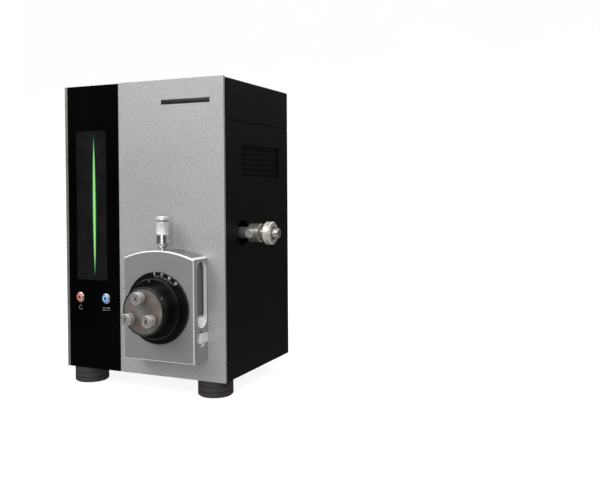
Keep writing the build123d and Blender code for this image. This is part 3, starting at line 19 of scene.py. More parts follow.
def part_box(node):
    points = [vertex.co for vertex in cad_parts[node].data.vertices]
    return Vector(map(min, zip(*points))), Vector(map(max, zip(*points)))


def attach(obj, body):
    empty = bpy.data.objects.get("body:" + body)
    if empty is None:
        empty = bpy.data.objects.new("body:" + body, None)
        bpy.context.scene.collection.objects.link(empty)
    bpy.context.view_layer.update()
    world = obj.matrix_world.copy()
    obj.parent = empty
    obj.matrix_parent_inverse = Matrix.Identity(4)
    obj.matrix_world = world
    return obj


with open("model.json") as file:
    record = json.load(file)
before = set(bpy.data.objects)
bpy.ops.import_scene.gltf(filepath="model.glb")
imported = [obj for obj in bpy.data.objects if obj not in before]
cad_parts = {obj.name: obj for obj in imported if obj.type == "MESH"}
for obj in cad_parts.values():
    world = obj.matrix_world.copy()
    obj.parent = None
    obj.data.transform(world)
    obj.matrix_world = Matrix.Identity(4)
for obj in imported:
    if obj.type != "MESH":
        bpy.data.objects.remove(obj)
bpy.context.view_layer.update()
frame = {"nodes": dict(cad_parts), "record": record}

# %% [markdown]
# ## The datums
#
# Every piece is placed from the same few planes and axes that the solids were drawn from, in
# millimetres. The front of the cabinet, its left side and its underside are the planes. The
# centre of the dial, which is also where the specimen sits, and the column are the axes.

# %% Datums, in millimetres
MM = 0.001
LEFT, RIGHT = -208.5, 136.5
FRONT, REAR = -82.0, 178.0
BASE = 30.0
COLUMN_X, COLUMN_Y = 30.75, -14.0
SPECIMEN_Z = 161.5
APERTURE_Z = 287.0
DOOR_FACE = FRONT - 45.5
FLANGE_FACE = DOOR_FACE - 5.0
RING_FACE = FRONT - 62.0
BARREL_FACE = FRONT - 90.0
KNOB_FACE = FRONT - 110.0
ACROSS, DEEP, UP = Vector((1, 0, 0)), Vector((0, 1, 0)), Vector((0, 0, 1))


def mm(x, y, z):
    """A point given in millimetres, in metres."""
    return Vector((x, y, z)) * MM


DIAL_CENTRE = (COLUMN_X, SPECIMEN_Z)
print("dial centre", DIAL_CENTRE)

# %% [markdown]
# ## The camera
#
# The view is from a little to the right of the microscope, with the lens at about two thirds
# of its height. The corners of the cabinet fix the place, the direction and the focal length.
# The lens is shifted down a little, which keeps the upright edges nearly upright.

# %% Camera
PICTURE_W, PICTURE_H = 600, 501
FOCAL_PIXELS = 735.74
OPTICAL_ROW = 205.0
YAW, PITCH, ROLL = (math.radians(a) for a in (23.755, -1.352, -0.303))
CAMERA_PLACE = mm(763.7, -1184.0, 367.2)

camera_data = bpy.data.cameras.new("camera")
camera_data.sensor_width = 36.0
camera_data.lens = camera_data.sensor_width * FOCAL_PIXELS / PICTURE_W
camera_data.shift_y = (OPTICAL_ROW - PICTURE_H / 2) / PICTURE_W
camera_data.clip_start, camera_data.clip_end = 0.05, 50.0
camera = bpy.data.objects.new("camera", camera_data)
bpy.context.scene.collection.objects.link(camera)
camera.matrix_world = (
    Matrix.Translation(CAMERA_PLACE)
    @ Matrix.Rotation(YAW, 4, "Z")
    @ Matrix.Rotation(math.pi / 2 + PITCH, 4, "X")
    @ Matrix.Rotation(ROLL, 4, "Z")
)
bpy.context.scene.camera = camera
print("lens", round(camera_data.lens, 2), "mm, shift", round(camera_data.shift_y, 4))

# %% [markdown]
# ## A short way to write finishes
#
# A finish is a web of shader nodes. Written link by link it is long and hard to read, so one
# small class wraps a socket: sums and products of wires add their Math nodes, and any other
# node comes from one method. Patterns read Object coordinates, which stay with a piece when
# it moves. All the pieces have their place in their mesh, so the coordinates are the same
# millimetre places as the datums, only in metres.


# %% The socket wrapper
class Wire:
    """A socket that can be used in Python expressions."""

    def __init__(self, tree, socket):
        self.tree, self.socket = tree, socket

    def node(self, kind, settings=None, inputs=None, output=0):
        """Add a node: its settings first, then values or wires for its sockets."""
        made = self.tree.nodes.new(kind)
        for name, value in (settings or {}).items():
            setattr(made, name, value)
        for name, value in (inputs or {}).items():
            if isinstance(value, Wire):
                self.tree.links.new(value.socket, made.inputs[name])
            else:
                made.inputs[name].default_value = value
        return Wire(self.tree, made.outputs[output])

    def maths(self, operation, *values):
        """Add a Math node whose inputs are wires or numbers, in their order."""
        return self.node("ShaderNodeMath", {"operation": operation}, dict(enumerate(values)))

    def __add__(self, other):
        return self.maths("ADD", self, other)

    def __sub__(self, other):
        return self.maths("SUBTRACT", self, other)

    def __mul__(self, other):
        return self.maths("MULTIPLY", self, other)

    def __truediv__(self, other):
        return self.maths("DIVIDE", self, other)

    def __rsub__(self, other):
        return self.maths("SUBTRACT", other, self)

    __radd__, __rmul__ = __add__, __mul__

    def root(self):
        """The square root."""
        return self.maths("SQRT", self)

    def size(self):
        """The value without its sign."""
        return self.maths("ABSOLUTE", self)

    def at_least(self, low):
        """The larger of the value and a limit."""
        return self.maths("MAXIMUM", self, low)

    def at_most(self, high):
        """The smaller of the value and a limit."""
        return self.maths("MINIMUM", self, high)

    def stripes(self, other, count):
        """From 0 to 1 and back count times round the axis, from the two offsets across it."""
        around = self.maths("ARCTAN2", self, other) * count
        return self.maths("SINE", around) * 0.5 + 0.5

    def rise(self, low, high):
        """From 0 at low to 1 at high, in the wire's own unit."""
        inputs = {"Value": self, "From Min": low, "From Max": high}
        return self.node("ShaderNodeMapRange", {"interpolation_type": "SMOOTHSTEP"}, inputs)

    def between(self, low, high, soft):
        """1 between low and high and 0 outside, with edges as wide as soft inside them."""
        return self.rise(low, low + soft) * (1 - self.rise(high - soft, high))

    def colour_mix(self, first, second):
        """The first colour where this wire is 0, the second where it is 1."""
        inputs = {0: self, 6: first, 7: second}
        return self.node("ShaderNodeMix", {"data_type": "RGBA"}, inputs, output=2)


class Finish:
    """A material with its shader, and the places on a piece as wires in millimetres."""

    def __init__(self, name, **constants):
        self.material = bpy.data.materials.new(name)
        self.material.use_nodes = True
        self.tree = self.material.node_tree
        self.shader = self.tree.nodes["Principled BSDF"]
        for socket_name, value in constants.items():
            self.shader.inputs[socket_name.replace("_", " ")].default_value = value
        coordinates = self.tree.nodes.new("ShaderNodeTexCoord")
        self.place = Wire(self.tree, coordinates.outputs["Object"])
        scaled = {"operation": "SCALE"}
        self.mm_place = self.place.node("ShaderNodeVectorMath", scaled, {0: self.place, "Scale": 1000.0})
        axes = self.tree.nodes.new("ShaderNodeSeparateXYZ")
        self.tree.links.new(self.mm_place.socket, axes.inputs[0])
        self.x, self.y, self.z = (Wire(self.tree, socket) for socket in axes.outputs)

    def grain(self, size, detail=2.0, stretch=(1, 1, 1)):
        """Cloudy noise whose lumps are about size millimetres, drawn out along an axis."""
        inputs = {"Location": (0, 0, 0), "Scale": tuple(1 / s for s in stretch), "Vector": self.mm_place}
        vector = self.place.node("ShaderNodeMapping", {}, inputs)
        inputs = {"Vector": vector, "Scale": 1 / size, "Detail": detail, "Roughness": 0.55}
        return self.place.node("ShaderNodeTexNoise", {}, inputs)

    def radius(self, first, second, centre):
        """Distance from an axis, from the two coordinates across it."""
        du, dv = first - centre[0], second - centre[1]
        return (du * du + dv * dv).root()

    def lines(self, along, pitch, detail=3.0):
        """Fine uneven lines across a coordinate, as a tool or a brush leaves them."""
        settings = {"noise_dimensions": "1D"}
        inputs = {"W": along, "Scale": 1 / pitch, "Detail": detail, "Roughness": 0.6}
        return self.place.node("ShaderNodeTexNoise", settings, inputs)

    def join(self, socket_name, value):
        """Link a wire to a socket of the shader."""
        self.tree.links.new(value.socket, self.shader.inputs[socket_name])
        return self

    def bump(self, height, depth, strength=1.0):
        """Feed the Normal from a height of 0 to 1 that stands for a depth in millimetres."""
        inputs = {"Height": height, "Distance": depth * MM, "Strength": strength}
        return self.join("Normal", self.place.node("ShaderNodeBump", {}, inputs))


def tone(colour, factor):
    """A colour made lighter or darker."""
    return (*[min(1.0, c * factor) for c in colour[:3]], 1.0)


print("ready:", Wire.__name__, Finish.__name__)


# %% [markdown]
# ## The studio
#
# The background is plain white. A sweep, which is a floor that curves up into a wall, has no
# horizon line. It is one plane whose far edge is extruded up and whose corner is bevelled
# round. Its finish glows a little, as paper does that has a lamp behind it, so the shadow on it
# stays pale. Black gloss shows whatever stands round it, so here the floor is kept out of the
# reflections and the room is dark near the horizon and bright overhead: the black side stays
# black, while the silver plate and the arched top of the door catch the light from above.

# %% Floor and backdrop in one sweep
SWEEP_SIZE, CORNER_R, PAPER_GLOW = 24.0, 3.0, 0.86
FAR_EDGE = 0.49 * SWEEP_SIZE
bpy.ops.object.select_all(action="DESELECT")
bpy.ops.mesh.primitive_plane_add(size=SWEEP_SIZE, location=(0, 0, 0))
sweep = bpy.context.object
sweep.name = "sweep"
bpy.ops.object.mode_set(mode="EDIT")
bpy.ops.mesh.select_all(action="DESELECT")
bpy.ops.mesh.select_mode(type="EDGE")
bpy.ops.object.mode_set(mode="OBJECT")
for edge in sweep.data.edges:
    edge.select = all(sweep.data.vertices[v].co.y > FAR_EDGE for v in edge.vertices)
bpy.ops.object.mode_set(mode="EDIT")
bpy.ops.mesh.extrude_region_move(TRANSFORM_OT_translate={"value": (0, 0, SWEEP_SIZE / 2)})
bpy.ops.object.mode_set(mode="OBJECT")
for edge in sweep.data.edges:
    ends = [sweep.data.vertices[v].co for v in edge.vertices]
    edge.select = all(co.y > FAR_EDGE and co.z < 0.1 for co in ends)
bpy.ops.object.mode_set(mode="EDIT")
bpy.ops.mesh.bevel(offset=CORNER_R, segments=16)
bpy.ops.object.mode_set(mode="OBJECT")
bpy.ops.object.shade_smooth()
sweep_finish = Finish("sweep_white", Roughness=0.9, Specular_IOR_Level=0.0)
paper = sweep_finish.grain(900, 2.0).rise(0.3, 0.7)
sweep_finish.join("Base Color", paper.colour_mix((0.26, 0.26, 0.26, 1), (0.28, 0.28, 0.28, 1)))
sweep_finish.shader.inputs["Emission Color"].default_value = (1.0, 1.0, 1.0, 1.0)
sweep_finish.shader.inputs["Emission Strength"].default_value = PAPER_GLOW
sweep.data.materials.append(sweep_finish.material)
sweep.visible_glossy = sweep.visible_diffuse = sweep.visible_shadow = False
print("sweep faces", len(sweep.data.polygons))


# %% Soft boxes
def soft_box(name, place, target, width, height, watts):
    """A rectangular lamp turned from its place to a target, both in metres."""
    bpy.ops.object.light_add(type="AREA", location=place)
    lamp = bpy.context.object
    lamp.name = name
    lamp.data.shape = "RECTANGLE"
    lamp.data.size, lamp.data.size_y = width, height
    lamp.data.energy = watts
    lamp.rotation_euler = (Vector(target) - Vector(place)).to_track_quat("-Z", "Y").to_euler()


CABINET_CENTRE = (0, 0, 0.3)
soft_box("key_light", (-1.3, -2.3, 2.4), CABINET_CENTRE, 2.4, 1.6, 55)
soft_box("front_fill", (0.9, -3.0, 0.7), CABINET_CENTRE, 0.8, 1.6, 34)
soft_box("top_light", (0.1, 0.2, 2.6), CABINET_CENTRE, 1.8, 1.8, 16)

# %% The light of the room
HORIZON_LIGHT, OVERHEAD_LIGHT, FLOOR_LIGHT = 0.04, 1.15, 0.55
room = bpy.data.worlds.new("room")
room.use_nodes = True
room_web = room.node_tree
direction = Wire(room_web, room_web.nodes.new("ShaderNodeTexCoord").outputs["Generated"])
upward = direction.node("ShaderNodeSeparateXYZ", {}, {"Vector": direction}, output=2)
seen = direction.node("ShaderNodeLightPath", {}, {}, output=0)
above = upward.rise(0.0, 0.75) * (OVERHEAD_LIGHT - HORIZON_LIGHT)
below = (1 - upward.rise(-0.8, -0.1)) * (FLOOR_LIGHT - HORIZON_LIGHT)
dome = above + below + HORIZON_LIGHT
strength = seen + (1 - seen) * dome
room_light = room_web.nodes["Background"]
room_light.inputs["Color"].default_value = (1.0, 1.0, 1.0, 1.0)
room_web.links.new(strength.socket, room_light.inputs["Strength"])
bpy.context.scene.world = room
bpy.context.scene.view_settings.view_transform = "Standard"
print("room light from", HORIZON_LIGHT, "to", OVERHEAD_LIGHT)

# %% [markdown]
# ## Plain families of finish
#
# Most surfaces belong to a family. Blasted or cast metal and moulded plastic have a fine
# grain with slow clouds of tone over it. Turned metal has rings about its axis, and drawn or
# brushed metal has long straight lines. Each family is one function whose numbers say how
# coarse the grain is and how far the tone and the shine wander.


# %% Grained, turned and brushed families
def grained(name, colour, metallic, roughness, grain_mm, spread=0.12, depth=0.02, cloud_mm=60):
    """Blasted, cast or moulded: fine grain, slow clouds of tone."""
    finish = Finish(name, Metallic=metallic)
    fine, clouds = finish.grain(grain_mm), finish.grain(cloud_mm, 3.0)
    shade = (fine * 0.6 + clouds * 0.4).rise(0.3, 0.7)
    finish.join("Base Color", shade.colour_mix(tone(colour, 1 - spread), tone(colour, 1 + spread)))
    finish.join("Roughness", fine * 0.12 + clouds * 0.08 + (roughness - 0.1))
    return finish.bump(fine, depth)


def turned(name, colour, metallic, roughness, axis, centre, pitch=0.5, spread=0.12, depth=0.012):
    """Turned in a lathe: rings on the ends and lines along the sides."""
    finish = Finish(name, Metallic=metallic)
    across = {"x": (finish.y, finish.z), "y": (finish.x, finish.z), "z": (finish.x, finish.y)}[axis]
    along = {"x": finish.x, "y": finish.y, "z": finish.z}[axis]
    rings = finish.lines(finish.radius(*across, centre) + along * 0.9, pitch)
    clouds = finish.grain(18, 2.0)
    shade = (rings * 0.75 + clouds * 0.25).rise(0.3, 0.7)
    finish.join("Base Color", shade.colour_mix(tone(colour, 1 - spread), tone(colour, 1 + spread)))
    finish.join("Roughness", rings * 0.14 + clouds * 0.1 + (roughness - 0.12))
    return finish.bump(rings, depth)


def brushed(name, colour, metallic, roughness, stretch, spread=0.12, depth=0.01, **constants):
    """Drawn or brushed: grain that is long in one direction."""
    finish = Finish(name, Metallic=metallic, **constants)
    fine, clouds = finish.grain(0.35, 3.0, stretch), finish.grain(45, 3.0)
    shade = (fine * 0.7 + clouds * 0.3).rise(0.3, 0.7)
    finish.join("Base Color", shade.colour_mix(tone(colour, 1 - spread), tone(colour, 1 + spread)))
    finish.join("Roughness", fine * 0.15 + clouds * 0.1 + (roughness - 0.12))
    return finish.bump(fine, depth)


print("families:", grained.__name__, turned.__name__, brushed.__name__)


# %% [markdown]
# ## Silver plate and door
#
# The plate is aluminium, bead blasted and then anodised, so it is matt with a fine sparkle.
# The door is the same metal with a darker blast on its face and sides, while the bevels, the
# arched top and the finger slots were milled afterwards and left bright; their near-white colour
# is also a painted highlight, for the light the arched top catches from above. A mask made from
# the place on the door splits the two: what lies on its front and side planes is blasted, and the
# rest is bright. A second mask darkens the floor of the finger slots, which the light of the
# room hardly reaches, and leaves their rounded lower ends bright.

# %% Silver plate
silver = Finish("silver_plate", Metallic=0.45)
sparkle, soft_grain, clouds = silver.grain(0.9, 2.0), silver.grain(3.0, 3.0), silver.grain(140, 2.0)
plate_shade = (sparkle * 0.35 + soft_grain * 0.5 + clouds * 0.15).rise(0.36, 0.64)
silver.join("Base Color", plate_shade.colour_mix((0.41, 0.41, 0.405, 1), (0.535, 0.535, 0.53, 1)))
silver.join("Roughness", sparkle * 0.14 + clouds * 0.08 + 0.36)
silver.bump(sparkle * 0.5 + soft_grain * 0.5, 0.05)
print("plate finish", silver.material.name)

# %% Door: blasted skin, milled edges
DOOR_HALF = 71.75
GRIP_FOOT = BASE + 97.0
GRIP_FLOOR = DOOR_HALF - 8.0
door_finish = Finish("door_metal")
face_skin = 1 - door_finish.y.rise(DOOR_FACE + 0.1, DOOR_FACE + 0.5)
side_reach = (door_finish.x - COLUMN_X).size()
side_skin = side_reach.rise(DOOR_HALF - 0.4, DOOR_HALF - 0.15)
skin = (face_skin + side_skin).at_most(1.0)
milled = door_finish.grain(0.8, 3.0, (1, 18, 1))
blasted, soft_blast, door_clouds = (door_finish.grain(size, 2.0) for size in (0.8, 2.6, 70))
skin_tone = (blasted * 0.35 + soft_blast * 0.35 + door_clouds * 0.3).rise(0.34, 0.66)
skin_colour = skin_tone.colour_mix((0.35, 0.35, 0.35, 1), (0.43, 0.43, 0.43, 1))
# The milled edges are brighter metal, and their near-white colour is also a painted highlight on the arched
# top.
edge_and_highlight_colour = milled.rise(0.3, 0.7).colour_mix((0.86, 0.86, 0.86, 1), (0.97, 0.97, 0.97, 1))
behind_face = door_finish.y.rise(DOOR_FACE + 4, DOOR_FACE + 5)
in_slot = door_finish.z.rise(GRIP_FOOT + 14, GRIP_FOOT + 22) * behind_face
in_slot = in_slot * (1 - side_reach.rise(GRIP_FLOOR, GRIP_FLOOR + 2.5))
edge_and_highlight_colour = in_slot.colour_mix(edge_and_highlight_colour, (0.14, 0.14, 0.14, 1))
door_finish.join("Base Color", skin.colour_mix(edge_and_highlight_colour, skin_colour))
door_finish.join("Metallic", skin * 0.35 + 0.25)
skin_roughness = blasted * 0.12 + 0.36
edge_roughness = milled * 0.06 + door_clouds * 0.06 + 0.20
door_finish.join("Roughness", skin * skin_roughness + (1 - skin) * edge_roughness)
door_finish.bump(skin * (blasted * 0.5 + soft_blast * 0.5) + (1 - skin) * milled * 0.15, 0.04)
print("door finish", door_finish.material.name)

# %% [markdown]
# ## Fascia, window and light
#
# The fascia is acrylic, lacquered black from behind, so it is deep black under a clear gloss.
# The window is smoked glass. A needle of green light stands behind it and fades towards its
# tips, with a faint green haze round it. A light that only lay behind dark glass would take a
# great deal of light to come through, so the needle is made part of the window's own finish:
# its brightness is worked out from the distance to the needle's middle line. The guide behind
# it glows on its front only, so that nothing green shows through the fan at the back.

# %% Gloss black fascia
gloss = Finish("gloss_black", Metallic=0.0, Specular_IOR_Level=0.14, Coat_Weight=0.05, Coat_Roughness=0.03)
smears, specks = gloss.grain(55, 4.0, (1, 1, 2.2)), gloss.grain(0.8, 1.0)
lacquer, smeared = (0.0006, 0.0006, 0.0007, 1), (0.0016, 0.0016, 0.0018, 1)
gloss.join("Base Color", smears.rise(0.35, 0.75).colour_mix(lacquer, smeared))
gloss.join("Roughness", smears * 0.10 + specks * 0.03 + 0.03)
gloss.bump(smears, 0.02, 0.3)
print("fascia finish", gloss.material.name)

# %% Smoked window with the needle of light
LIGHT_X = LEFT + 67.5
LIGHT_Z = BASE + 305.0
LIGHT_HALF = 134.0
window = Finish("smoked_glass", Metallic=0.0, Specular_IOR_Level=0.25, Coat_Weight=0.1, Coat_Roughness=0.02)
window.shader.inputs["Emission Strength"].default_value = 1.0
off_axis = (window.x - LIGHT_X).size()
height_share = ((window.z - LIGHT_Z) / LIGHT_HALF).size()
taper = (1 - height_share * height_share).at_least(0.0)
core = (1 - (off_axis / (taper * 3.6 + 0.05)).rise(0.0, 1.0)) * (1 - height_share.rise(0.62, 0.95))
haze = (1 - (off_axis / (taper * 5.4 + 0.6)).rise(0.15, 1.0)) * (1 - height_share.rise(0.88, 1.0))
ripple = window.grain(5, 2.0, (1, 1, 3))
dark = haze.colour_mix((0.0, 0.0, 0.0, 1), (0.006, 0.25, 0.07, 1))
needle = (core * (ripple * 0.3 + 1.15)).at_most(1.0)
window.join("Emission Color", needle.colour_mix(dark, (0.42, 0.84, 0.25, 1)))
window_smears = window.grain(40, 4.0)
clear_glass, smeared_glass = (0.0062, 0.0066, 0.0064, 1), (0.0110, 0.0116, 0.0112, 1)
window.join("Base Color", window_smears.rise(0.3, 0.7).colour_mix(clear_glass, smeared_glass))
window.join("Roughness", window_smears * 0.08 + 0.05)
print("window finish", window.material.name)

# %% The light guide, lit on its front only
GUIDE_FRONT = FRONT + 3.2
light_finish = Finish("light", Roughness=0.4)
light_finish.shader.inputs["Emission Strength"].default_value = 1.5
streaks = light_finish.grain(6, 2.0).rise(0.2, 0.8)
light_front = 1 - light_finish.y.rise(GUIDE_FRONT, GUIDE_FRONT + 0.4)
lit = streaks.colour_mix((0.10, 0.55, 0.05, 1), (0.25, 0.95, 0.15, 1))
light_finish.join("Emission Color", light_front.colour_mix((0.0, 0.0, 0.0, 1), lit))
light_finish.join("Base Color", streaks.colour_mix((0.016, 0.02, 0.016, 1), (0.03, 0.04, 0.03, 1)))
print("light finish", light_finish.material.name)

# %% [markdown]
# ## Covers, feet and dial
#
# The covers are sheet steel in a satin black powder coat, which has a fine orange peel and is
# a touch green rather than blue. The feet are brownish rubber with dust in the grooves. The
# dial is black anodised aluminium. Its turned lines catch the light, and a lighter ring on the
# sharp front rim of its barrel is a painted highlight.

# %% Powder-coated covers
paint = Finish("cover_paint", Metallic=0.0, Specular_IOR_Level=0.18)
peel, dust = paint.grain(0.9, 2.0), paint.grain(90, 4.0)
paint_shade = (peel * 0.4 + dust * 0.6).rise(0.3, 0.7)
paint.join("Base Color", paint_shade.colour_mix((0.0016, 0.0018, 0.0012, 1), (0.0038, 0.0041, 0.0030, 1)))
paint.join("Roughness", peel * 0.14 + dust * 0.12 + 0.34)
paint.bump(peel, 0.05)
print("cover finish", paint.material.name)

# %% Rubber feet
rubber = Finish("foot_rubber", Metallic=0.0, Specular_IOR_Level=0.35)
pores, dirt = rubber.grain(0.7, 2.0), rubber.grain(9, 4.0)
rubber_shade = (pores * 0.5 + dirt * 0.5).rise(0.3, 0.7)
rubber.join("Base Color", rubber_shade.colour_mix((0.028, 0.024, 0.022, 1), (0.052, 0.045, 0.042, 1)))
rubber.join("Roughness", pores * 0.15 + dirt * 0.15 + 0.45)
rubber.bump(pores, 0.06)
print("foot finish", rubber.material.name)

# %% Black anodised dial with a painted highlight on its rim
RIM_IN, RIM_OUT = 40.0, 40.5
dial = Finish("dial_black", Metallic=0.25, Specular_IOR_Level=0.4)
from_axis = dial.radius(dial.x, dial.z, DIAL_CENTRE)
turning = dial.lines(from_axis + dial.y * 0.9, 0.6)
handled = dial.grain(14, 4.0)
# Painted highlight: the rim mask gives the barrel's sharp front rim a lighter colour, broken up by the
# handling grain.
rim = (1 - dial.y.rise(BARREL_FACE + 0.5, BARREL_FACE + 1.0)) * from_axis.rise(RIM_IN, RIM_OUT)
dial_shade = (turning * 0.6 + handled * 0.4).rise(0.3, 0.7)
dial_colour = dial_shade.colour_mix((0.0030, 0.0032, 0.0028, 1), (0.0065, 0.0068, 0.0060, 1))
dial.join("Base Color", (rim * handled.rise(0.3, 0.6)).colour_mix(dial_colour, (0.09, 0.09, 0.088, 1)))
dial.join("Metallic", rim * 0.4 + 0.25)
dial.join("Roughness", turning * 0.12 + handled * 0.10 + 0.14)
dial.bump(turning, 0.012)
print("dial finish", dial.material.name)

# %% [markdown]
# ## Control disc and knobs
#
# The disc on the dial is warm grey anodised metal with one thin red circle through the three
# knobs. The circle is printed, so it is a colour and has no height: the finish measures the
# distance from the dial's axis and paints the narrow band where it is 24.5 mm. The knobs are
# turned aluminium: each has rings about its own axis, and one deeper groove round its letter,
# coloured dark as painted shade, so each gets a finish of its own, made by one function.

# %% Disc with the red circle
KNOB_CIRCLE = 24.5
disc = Finish("disc_metal")
disc_radius = disc.radius(disc.x, disc.z, DIAL_CENTRE)
disc_rings, disc_clouds = disc.lines(disc_radius, 0.5), disc.grain(16, 3.0)
on_circle = disc_radius.between(KNOB_CIRCLE - 0.5, KNOB_CIRCLE + 0.5, 0.25)
disc_shade = (disc_rings * 0.5 + disc_clouds * 0.5).rise(0.3, 0.7)
disc_colour = disc_shade.colour_mix((0.175, 0.160, 0.142, 1), (0.255, 0.235, 0.210, 1))
disc.join("Base Color", on_circle.colour_mix(disc_colour, (0.50, 0.075, 0.045, 1)))
disc.join("Metallic", 0.55 - on_circle * 0.5)
disc.join("Roughness", disc_rings * 0.15 + disc_clouds * 0.10 + 0.32)
disc.bump(disc_rings, 0.01)
print("disc finish", disc.material.name)

# %% Knobs with a groove round the letter
KNOB_ANGLES = {"x_knob": (90, "X"), "y_knob": (210, "Y"), "r_knob": (330, "R")}
GROOVE_IN, GROOVE_OUT = 7.9, 9.0


def knob_centre(knob):
    """The place of a knob's axis across the dial, in millimetres."""
    angle = math.radians(KNOB_ANGLES[knob][0])
    return COLUMN_X + KNOB_CIRCLE * math.cos(angle), SPECIMEN_Z + KNOB_CIRCLE * math.sin(angle)


def knob_finish(knob):
    """Turned aluminium with a groove round the letter, coloured dark as painted shade."""
    finish = Finish(knob + "_metal", Metallic=0.7)
    from_middle = finish.radius(finish.x, finish.z, knob_centre(knob))
    rings, wear = finish.lines(from_middle + finish.y * 0.9, 0.5), finish.grain(6, 3.0)
    groove_and_shade = from_middle.between(GROOVE_IN, GROOVE_OUT, 0.3)
    groove_and_shade = groove_and_shade * (1 - finish.y.rise(KNOB_FACE + 0.5, KNOB_FACE + 1.0))
    shade = (rings * 0.6 + wear * 0.4).rise(0.3, 0.7)
    metal = shade.colour_mix((0.50, 0.495, 0.485, 1), (0.64, 0.635, 0.62, 1))
    # Painted shade: the groove round the letter is coloured dark.
    finish.join("Base Color", groove_and_shade.colour_mix(metal, (0.20, 0.195, 0.19, 1)))
    finish.join("Roughness", rings * 0.14 + wear * 0.12 + groove_and_shade * 0.2 + 0.20)
    return finish.bump(rings * 0.3 + (1 - groove_and_shade), 0.15)


own_finishes = {knob: knob_finish(knob) for knob in KNOB_ANGLES}
print("knob finishes", list(own_finishes))

# %% [markdown]
# ## The tall knob and the aperture adjuster
#
# The tall knob over the door has a satin head with a band cut into notches, whose notches are
# coloured dark as painted shade, above a polished shank. One finish covers it all: heights
# along its axis say where the head starts and where the band lies, and the angle round the axis
# cuts the band into notches. The adjuster is nickel plated in three tones: a pale satin ring
# with painted shade in the recess round the rod, a duller housing whose darker colour is partly
# painted shade behind the thumbscrew, and a brighter rod and thumbscrew.

# %% Tall knob: satin head, band with painted shade in its notches, polished shank
KNOB_BOTTOM = BASE + 230.3
HEAD_FOOT = KNOB_BOTTOM + 26.0
BAND_FOOT, BAND_TOP = KNOB_BOTTOM + 48.4, KNOB_BOTTOM + 52.2
NOTCHES = 12
Z_AXIS = (COLUMN_X, FRONT - 30.0)
tall = Finish("z_knob_metal")
head = tall.z.rise(HEAD_FOOT, HEAD_FOOT + 0.6)
notches = (tall.x - Z_AXIS[0]).stripes(tall.y - Z_AXIS[1], NOTCHES).rise(0.15, 0.45)
notch_and_shade = notches * tall.z.between(BAND_FOOT, BAND_TOP, 0.4)
upright = tall.grain(0.6, 2.0, (1, 1, 30))
satin = upright.rise(0.3, 0.7).colour_mix((0.68, 0.68, 0.68, 1), (0.80, 0.80, 0.80, 1))
polished = upright.rise(0.3, 0.7).colour_mix((0.60, 0.60, 0.60, 1), (0.74, 0.74, 0.74, 1))
tall_colour = head.colour_mix(polished, satin)
# Painted shade: the notches of the band are coloured near black.
tall.join("Base Color", notch_and_shade.colour_mix(tall_colour, (0.05, 0.05, 0.05, 1)))
tall.join("Metallic", 0.95 - head * 0.6)
tall.join("Roughness", head * 0.12 + upright * 0.06 + 0.22)
tall.bump(upright * 0.2 + (1 - notch_and_shade) * 0.8, 0.2)
own_finishes["z_knob"] = tall
print("tall knob finish", tall.material.name)

# %% Nickel of the aperture adjuster
THUMBSCREW_X = LEFT + 368.5
RECESS_IN, RECESS_OUT, RECESS_X = 10.5, 13.0, LEFT + 400
rod_axis, thumbscrew_axis = (COLUMN_Y, APERTURE_Z), (THUMBSCREW_X, APERTURE_Z)
satin_ring = Finish("ring_satin", Metallic=0.5)
ring_radius = satin_ring.radius(satin_ring.y, satin_ring.z, rod_axis)
ring_turning = satin_ring.lines(ring_radius + satin_ring.x * 0.9, 0.8)
ring_wear = satin_ring.grain(8, 3.0)
# Painted shade: the ring's face is coloured dark round the rod, in the recess.
recess = (1 - ring_radius.rise(RECESS_IN, RECESS_OUT)) * satin_ring.x.rise(RECESS_X, RECESS_X + 2)
ring_shade = (ring_turning * 0.6 + ring_wear * 0.4).rise(0.3, 0.7)
ring_colour = ring_shade.colour_mix((0.60, 0.585, 0.53, 1), (0.74, 0.72, 0.66, 1))
satin_ring.join("Base Color", recess.colour_mix(ring_colour, (0.10, 0.095, 0.085, 1)))
satin_ring.join("Roughness", ring_turning * 0.12 + ring_wear * 0.10 + 0.26)
satin_ring.bump(ring_turning, 0.01)
# The housing's nickel is darker than the rod's: a duller finish, and partly painted shade behind the
# thumbscrew.
shaded_dull_nickel, bright_nickel = (0.34, 0.325, 0.29), (0.60, 0.58, 0.53)
own_finishes["aperture_ring"] = satin_ring
own_finishes["aperture_housing"] = turned("housing_nickel", shaded_dull_nickel, 0.8, 0.30, "x", rod_axis, 0.8)
own_finishes["aperture_rod"] = turned("rod_nickel", bright_nickel, 0.8, 0.22, "x", rod_axis)
thumbscrew_finish = turned("screw_nickel", bright_nickel, 0.7, 0.30, "y", thumbscrew_axis)
own_finishes["aperture_thumbscrew"] = thumbscrew_finish
print("adjuster finishes made, own finishes", len(own_finishes))

# %% [markdown]
# ## A finish for each slot
#
# The record names a material slot for every solid. A table gives each slot its finish, and the
# few solids that have a finish of their own take that one instead.

